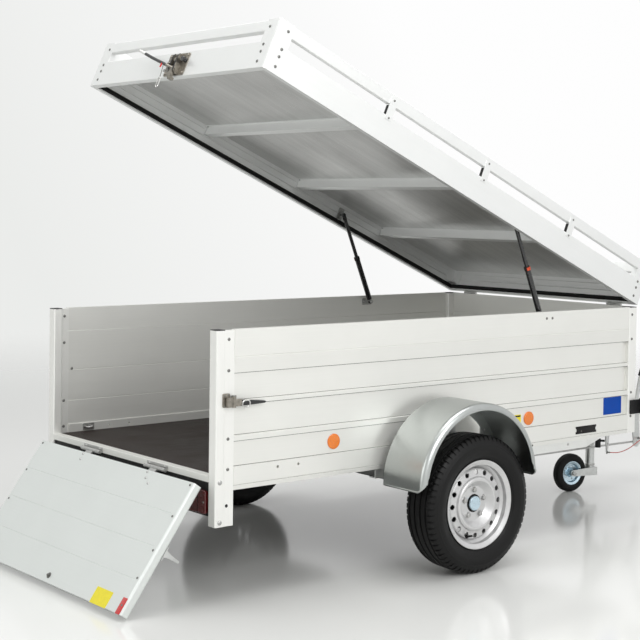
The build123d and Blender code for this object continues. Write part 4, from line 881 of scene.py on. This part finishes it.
def lid_latch_details():
    """Painted lever with a bare tip, edged ears, lock, pull string with a link, and a red tag."""
    x, z = LID_REAR, LID_Z
    grip, tip, lock, link, string, tag = (bmesh.new() for _ in range(6))
    tube(grip, [(x - 34.2, -5, z + 38.2), (x - 36.4, 50, z + 55.8), (x - 38, 120, z + 78),
                (x - 38, 196, z + 104.1)], 6.6, 14, smooth=3)
    for y in (-60, -26):
        tube(grip, [(x - 30, y, z + 18), (x - 30.3, y, z + 50), (x - 30, y, z + 80),
                    (x - 22, y, z + 92)], 2.4, 8)
    piece("lid_lever_paint", grip, black_satin, "lid", LID, 50)
    tube(tip, [(x - 38, 190, z + 102), (x - 38, 244, z + 120.4), (x - 38, 250, z + 122.5)], 6.9, 14,
         taper=5.6)
    piece("lid_lever_tip", tip, white_plastic, "lid", LID)
    lathe(lock, [(10.6, 0), (11.4, 1), (11.4, 4), (10.6, 5), (10.6, 19.5), (9.6, 21), (3, 21), (2.4, 19),
                 (0, 19)], aim((x - 4, -90, z + 69), (-1, 0, 0)), 24)
    tube(lock, [(x - 20, -90, z + 62), (x - 24, -97, z + 56), (x - 24, -106, z + 60),
                (x - 22, -109, z + 70)], 3, 8, 4)
    piece("lid_latch_lock", lock, black_gloss, "lid", LID)
    knobs = bmesh.new()
    for y, h, r in ((-40, 66, 9), (2, 50, 8)):
        lathe(knobs, [(r * 0.6, 0), (r * 0.6, 14), (r, 15), (r * 1.05, 18), (r * 0.9, 22), (r * 0.4, 24),
                      (0, 24)], aim((x - 4, y, z + h), (-1, 0, 0)), 20)
    for y in (-94, 34):
        for h in (14, 94):
            dome_bolt(knobs, (x - 4, y, z + h), (-1, 0, 0), 5)
    piece("lid_latch_knobs", knobs, zinc_latch, "lid", LID)
    tube(string, [(x - 40, 8, z + 36), (x - 37, 10, z + 22), (x - 33, 13, z + 4), (x - 30, 16, z - 14),
                  (x - 30, 15.5, z - 21)], 1.5, 8, 5)
    for y, h, r in ((-22, 12, 6), (2, 15, 5)):
        ring = [(x - 30, y + r * cos(a), z + h + r * sin(a)) for a in [2 * pi * i / 16 for i in range(16)]]
        tube(string, ring, 1.5, 8, closed=True)
    piece("lid_latch_string", string, zinc_dark, "lid", LID)
    loop = [(x - 30 - 0.1 * b, 15 + a - 0.12 * b, z - 38 + b) for a, b in round_outline(17, 42, 8.4, 6)]
    tube(link, loop, 2.5, 8, closed=True)
    piece("lid_latch_link", link, steel_bright, "lid", LID)
    slab(tag, round_outline(9, 24, 2, 3), -0.8, 0.8, aim((x - 41, 24, z + 38), (-1, -0.25, 0.05)), 0.4)
    piece("lid_latch_tag", tag, tag_red, "lid", LID)


def side_latch_details():
    """Painted lever and bright safety ring of each tailgate latch, its cap and its plate screws."""
    paint, ring, cap = bmesh.new(), bmesh.new(), bmesh.new()
    z = LATCH_Z
    lever = [(100, z + 9.2), (112, z + 8.8), (212, z - 2.2), (218.8, z - 6), (212, z - 10.8), (112, z - 13.8),
             (100, z - 14.2)]
    for _, sign in SIDES:
        place = Matrix.Translation((0, sign * 661, 0)) @ Matrix.Rotation(pi / 2, 4, "X")
        slab(paint, lever, -5.8, 5.8, place, 0.8)
        loop = [(x, sign * 667, h) for x, h in round_outline(34, 24, 10, 5, 125, z - 7)]
        tube(ring, loop, 2.7, 8, closed=True)
        lathe(cap, [(9.6, 0), (9.6, 2), (7.4, 4), (3.4, 4.4), (0, 4.4)],
              aim((72, sign * 662, z + 24), (0, 0, 1)), 20)
        for x, h in ((36, 28), (52, 28), (36, -11), (52, -11)):
            rivet(cap, (x, sign * 654, z + h), (0, sign, 0), 3.4)
    piece("side_latch_lever_paint", paint, black_satin, "chassis")
    piece("side_latch_rings", ring, steel_bright, "chassis")
    piece("side_latch_caps", cap, zinc_dark, "chassis")


def lid_hinge_bolts():
    """Bolts of both halves of the lid hinges."""
    top, low = bmesh.new(), bmesh.new()
    for y in (-500, 500):
        for dy in (-28, 28):
            hex_bolt(top, (LENGTH + 3, y + dy, LID_Z + 24), (1, 0, 0), 10)
            hex_bolt(low, (LENGTH + 3, y + dy, 985), (1, 0, 0), 10)
    piece("lid_hinge_bolts", top, zinc, "lid", LID)
    piece("wall_hinge_bolts", low, zinc, "chassis")


lid_details()
lid_seal()
lid_corner_plates()
lid_latch_details()
side_latch_details()
lid_hinge_bolts()


# ---- gas struts ----
def strut_details():
    """Each gas strut's collar with its coloured mark, end fittings, nut and plate bolts."""
    low = Vector((1808, 0, 1004))
    a = radians(LID_OPEN)
    dx, dz = STRUT_ON_LID[0], LID_Z + STRUT_ON_LID[1] - LID_AXIS[1]
    high = Vector((LID_AXIS[0] + dx * cos(a) + dz * sin(a), 0, LID_AXIS[1] - dx * sin(a) + dz * cos(a)))
    run = (high - low).normalized()
    for side, sign in SIDES:
        y = sign * STRUT_Y
        collar = bmesh.new()
        m = aim(low + run * 236 + Vector((0, y, 0)), run)
        lathe(collar, [(13.2, -2), (14.2, 0), (14.2, 16), (13, 18), (9.4, 18)], m, 28)
        piece(f"strut_collar_{side}", collar, plastic_black, f"strut_barrel_{side}")
        outward = m.to_3x3().inverted() @ Vector((0, sign, 0))
        middle = atan2(outward.y, outward.x)
        mark = [(r * cos(middle + t), r * sin(middle + t)) for r, turn in ((14.9, 1), (13.8, -1))
                for t in (-0.9 * turn, -0.45 * turn, 0, 0.45 * turn, 0.9 * turn)]
        patch = bmesh.new()
        slab(patch, mark, 0.5, 15.5, m, 0)
        piece(f"strut_mark_{side}", patch, collar_red, f"strut_barrel_{side}")
        foot = bmesh.new()
        m = aim(low + run * 8 + Vector((0, y, 0)), run)
        lathe(foot, [(6.4, -2), (8.5, 0), (8.5, 10), (10.5, 12), (10.5, 14), (7, 16)], m, 24)
        piece(f"strut_foot_{side}", foot, zinc, f"strut_barrel_{side}")
        head = bmesh.new()
        m = aim(high - run * 24 + Vector((0, y, 0)), run)
        lathe(head, [(9.1, -3), (10.4, 0), (10.4, 12), (8, 14.5), (6, 15)], m, 24)
        piece(f"strut_head_{side}", head, plastic_black, f"strut_rod_{side}")
        nuts = bmesh.new()
        hex_bolt(nuts, (low.x, y - sign * 9, low.z), (0, -sign, 0), 10)
        piece(f"strut_nut_{side}", nuts, zinc, "chassis")
        plates = bmesh.new()
        for px in (-22, 22):
            dome_bolt(plates, (low.x + px, sign * 621, low.z), (0, -sign, 0), 5)
        piece(f"strut_plate_bolts_{side}", plates, zinc, "chassis")


strut_details()


# ---- jockey wheel, drawbar and coupling ----
def jockey_details():
    """Axle nuts, crank grip and tube collars of the jockey wheel."""
    nuts = bmesh.new()
    yaw = radians(-8.7)
    axis = Vector((-sin(yaw), cos(yaw), 0))
    centre = Vector((JOCKEY_X - 139 * cos(yaw), -139 * sin(yaw), 100))
    for _, sign in SIDES:
        slab(nuts, hex_points(19), 0, 8, aim(centre + axis * sign * 40, axis * sign), 1.2)
    piece("jockey_axle_nuts", nuts, zinc, "jockey_fork")
    grip = bmesh.new()
    lathe(grip, [(10, 0), (12.4, 3), (12.8, 30), (12.4, 62), (10, 68), (0, 70)],
          aim((JOCKEY_X, 120, 778), (0, 0, 1)), 24)
    piece("crank_grip", grip, plastic_black, "jockey_post")
    collar = bmesh.new()
    lathe(collar, [(24.2, 0), (25.4, 1.5), (25.4, 12), (24.2, 14)], aim((JOCKEY_X, 0, 700), (0, 0, 1)), 32)
    lathe(collar, [(24.2, 0), (27, 1.5), (27, 10), (24.2, 12)], aim((JOCKEY_X, 0, 126), (0, 0, 1)), 32)
    piece("jockey_collars", collar, zinc, "jockey_post")


def coupling_details():
    """Bolts of the overrun device and coupling, and the gaiter's clamps."""
    bolts = bmesh.new()
    for _, sign in SIDES:
        for x in (3072, 3190):
            hex_bolt(bolts, (x, sign * 82, 390), (0, sign, 0), 17)
        for x in (3042, 3160):
            hex_bolt(bolts, (x, sign * 30, 467), (0, 0, 1), 13)
        hex_bolt(bolts, (3440, sign * 33, TUBE_Z), (0, sign, 0), 17)
    piece("coupling_bolts", bolts, zinc, "chassis")
    clamps = bmesh.new()
    for x in (3246, 3405):
        lathe(clamps, [(35.6, 0), (37, 0), (37, 8), (35.6, 8)], aim((x, 0, TUBE_Z), (1, 0, 0)), 40)
    piece("gaiter_clamps", clamps, zinc, "chassis")


jockey_details()
coupling_details()


# ---- rear lamps ----
def lamp_details():
    """Dividers between the rear lamps' chambers, and their screws."""
    dividers, screws = bmesh.new(), bmesh.new()
    for _, sign in SIDES:
        for y in (sign * 485, sign * 540):
            brick(dividers, (-6.2, y - 1.2, 342), (-4.2, y + 1.2, 424), 0.4)
        for y in (sign * 430, sign * 580):
            pan_screw(screws, (-5, y, 383), (-1, 0, 0), 4)
    piece("lamp_dividers", dividers, plastic_black, "chassis")
    piece("lamp_screws", screws, zinc_dark, "chassis")


lamp_details()


# ---- floor, world and lights ----
def linked(tree, kind, source, socket=0, **values):
    """New node of a kind, with source linked to one of its sockets and its settings set by name."""
    node = tree.nodes.new(kind)
    for name, value in values.items():
        setattr(node, name, value)
    tree.links.new(source, node.inputs[socket])
    return node


def studio_floor():
    """Pale floor with a soft gloss, which fades out all round so that no horizon shows."""
    bm = bmesh.new()
    bmesh.ops.create_grid(bm, x_segments=2, y_segments=2, size=30)
    mesh = bpy.data.meshes.new("studio_floor")
    bm.to_mesh(mesh)
    bm.free()
    ground = bpy.data.objects.new("studio_floor", mesh)
    ground.location = (REAR + 1.2, 0, GROUND - 0.0005)
    bpy.context.collection.objects.link(ground)
    material = bpy.data.materials.new("studio_floor")
    material.use_nodes = True
    tree = material.node_tree
    shader = tree.nodes["Principled BSDF"]
    shader.inputs["Base Color"].default_value = (0.80, 0.805, 0.785, 1)
    shader.inputs["Roughness"].default_value = 0.13
    shader.inputs["Specular IOR Level"].default_value = 0.4
    place = tree.nodes.new("ShaderNodeTexCoord")
    reach = linked(tree, "ShaderNodeVectorMath", place.outputs["Object"], operation="LENGTH")
    fade = linked(tree, "ShaderNodeMapRange", reach.outputs["Value"], interpolation_type="SMOOTHSTEP")
    fade.inputs["From Min"].default_value = 3.4
    fade.inputs["From Max"].default_value = 11
    clear = tree.nodes.new("ShaderNodeBsdfTransparent")
    blend = linked(tree, "ShaderNodeMixShader", fade.outputs["Result"], "Fac")
    tree.links.new(shader.outputs["BSDF"], blend.inputs[1])
    tree.links.new(clear.outputs["BSDF"], blend.inputs[2])
    tree.links.new(blend.outputs["Shader"], tree.nodes["Material Output"].inputs["Surface"])
    mesh.materials.append(material)


def studio_world():
    """Plain grey light; the camera and reflections see a backdrop that brightens to the right."""
    world = bpy.data.worlds.new("studio")
    bpy.context.scene.world = world
    world.use_nodes = True
    tree = world.node_tree
    background = tree.nodes["Background"]
    background.inputs["Strength"].default_value = 1.0
    path = tree.nodes.new("ShaderNodeLightPath")
    seen = linked(tree, "ShaderNodeMath", path.outputs["Is Camera Ray"], operation="MAXIMUM")
    tree.links.new(path.outputs["Is Transmission Ray"], seen.inputs[1])
    both = linked(tree, "ShaderNodeMath", seen.outputs[0], operation="MAXIMUM")
    tree.links.new(path.outputs["Is Glossy Ray"], both.inputs[1])
    place = tree.nodes.new("ShaderNodeTexCoord")
    sweep = linked(tree, "ShaderNodeVectorMath", place.outputs["Generated"], operation="DOT_PRODUCT")
    sweep.inputs[1].default_value = (0.76, -0.65, 0.45)
    shift = linked(tree, "ShaderNodeMath", sweep.outputs["Value"])
    shift.inputs[1].default_value = 0.25
    ramp = linked(tree, "ShaderNodeValToRGB", shift.outputs[0], "Fac")
    darker, brighter = ramp.color_ramp.elements
    darker.position, brighter.position = 0.0, 0.32
    darker.color = (0.83, 0.84, 0.825, 1)
    brighter.color = (0.99, 0.99, 0.99, 1)
    mix = linked(tree, "ShaderNodeMix", both.outputs[0], "Factor", data_type="RGBA")
    light, backdrop = [socket for socket in mix.inputs if socket.type == "RGBA"]
    light.default_value = (0.5, 0.5, 0.5, 1)
    tree.links.new(ramp.outputs["Color"], backdrop)
    result = next(socket for socket in mix.outputs if socket.type == "RGBA")
    tree.links.new(result, background.inputs["Color"])


def lamp(name, where, target, size, power):
    """Soft box at one place, facing another, both in road millimetres."""
    data = bpy.data.lights.new(name, "AREA")
    data.shape = "RECTANGLE"
    data.size, data.size_y = size
    data.energy = power
    light = bpy.data.objects.new(name, data)
    start = ROAD @ Vector(where)
    light.location = start
    light.rotation_euler = (ROAD @ Vector(target) - start).to_track_quat("-Z", "Y").to_euler()
    bpy.context.collection.objects.link(light)


studio_floor()
studio_world()
lamp("key", (200, -5200, 3300), (1200, -300, 700), (3.6, 2.4), 128)
lamp("top", (700, -300, 4800), (1200, 0, 0), (4.5, 3.0), 128)
lamp("rear", (-4400, -300, 2200), (200, 0, 600), (2.6, 2.0), 40)

scene = bpy.context.scene
scene.view_settings.view_transform = "Standard"
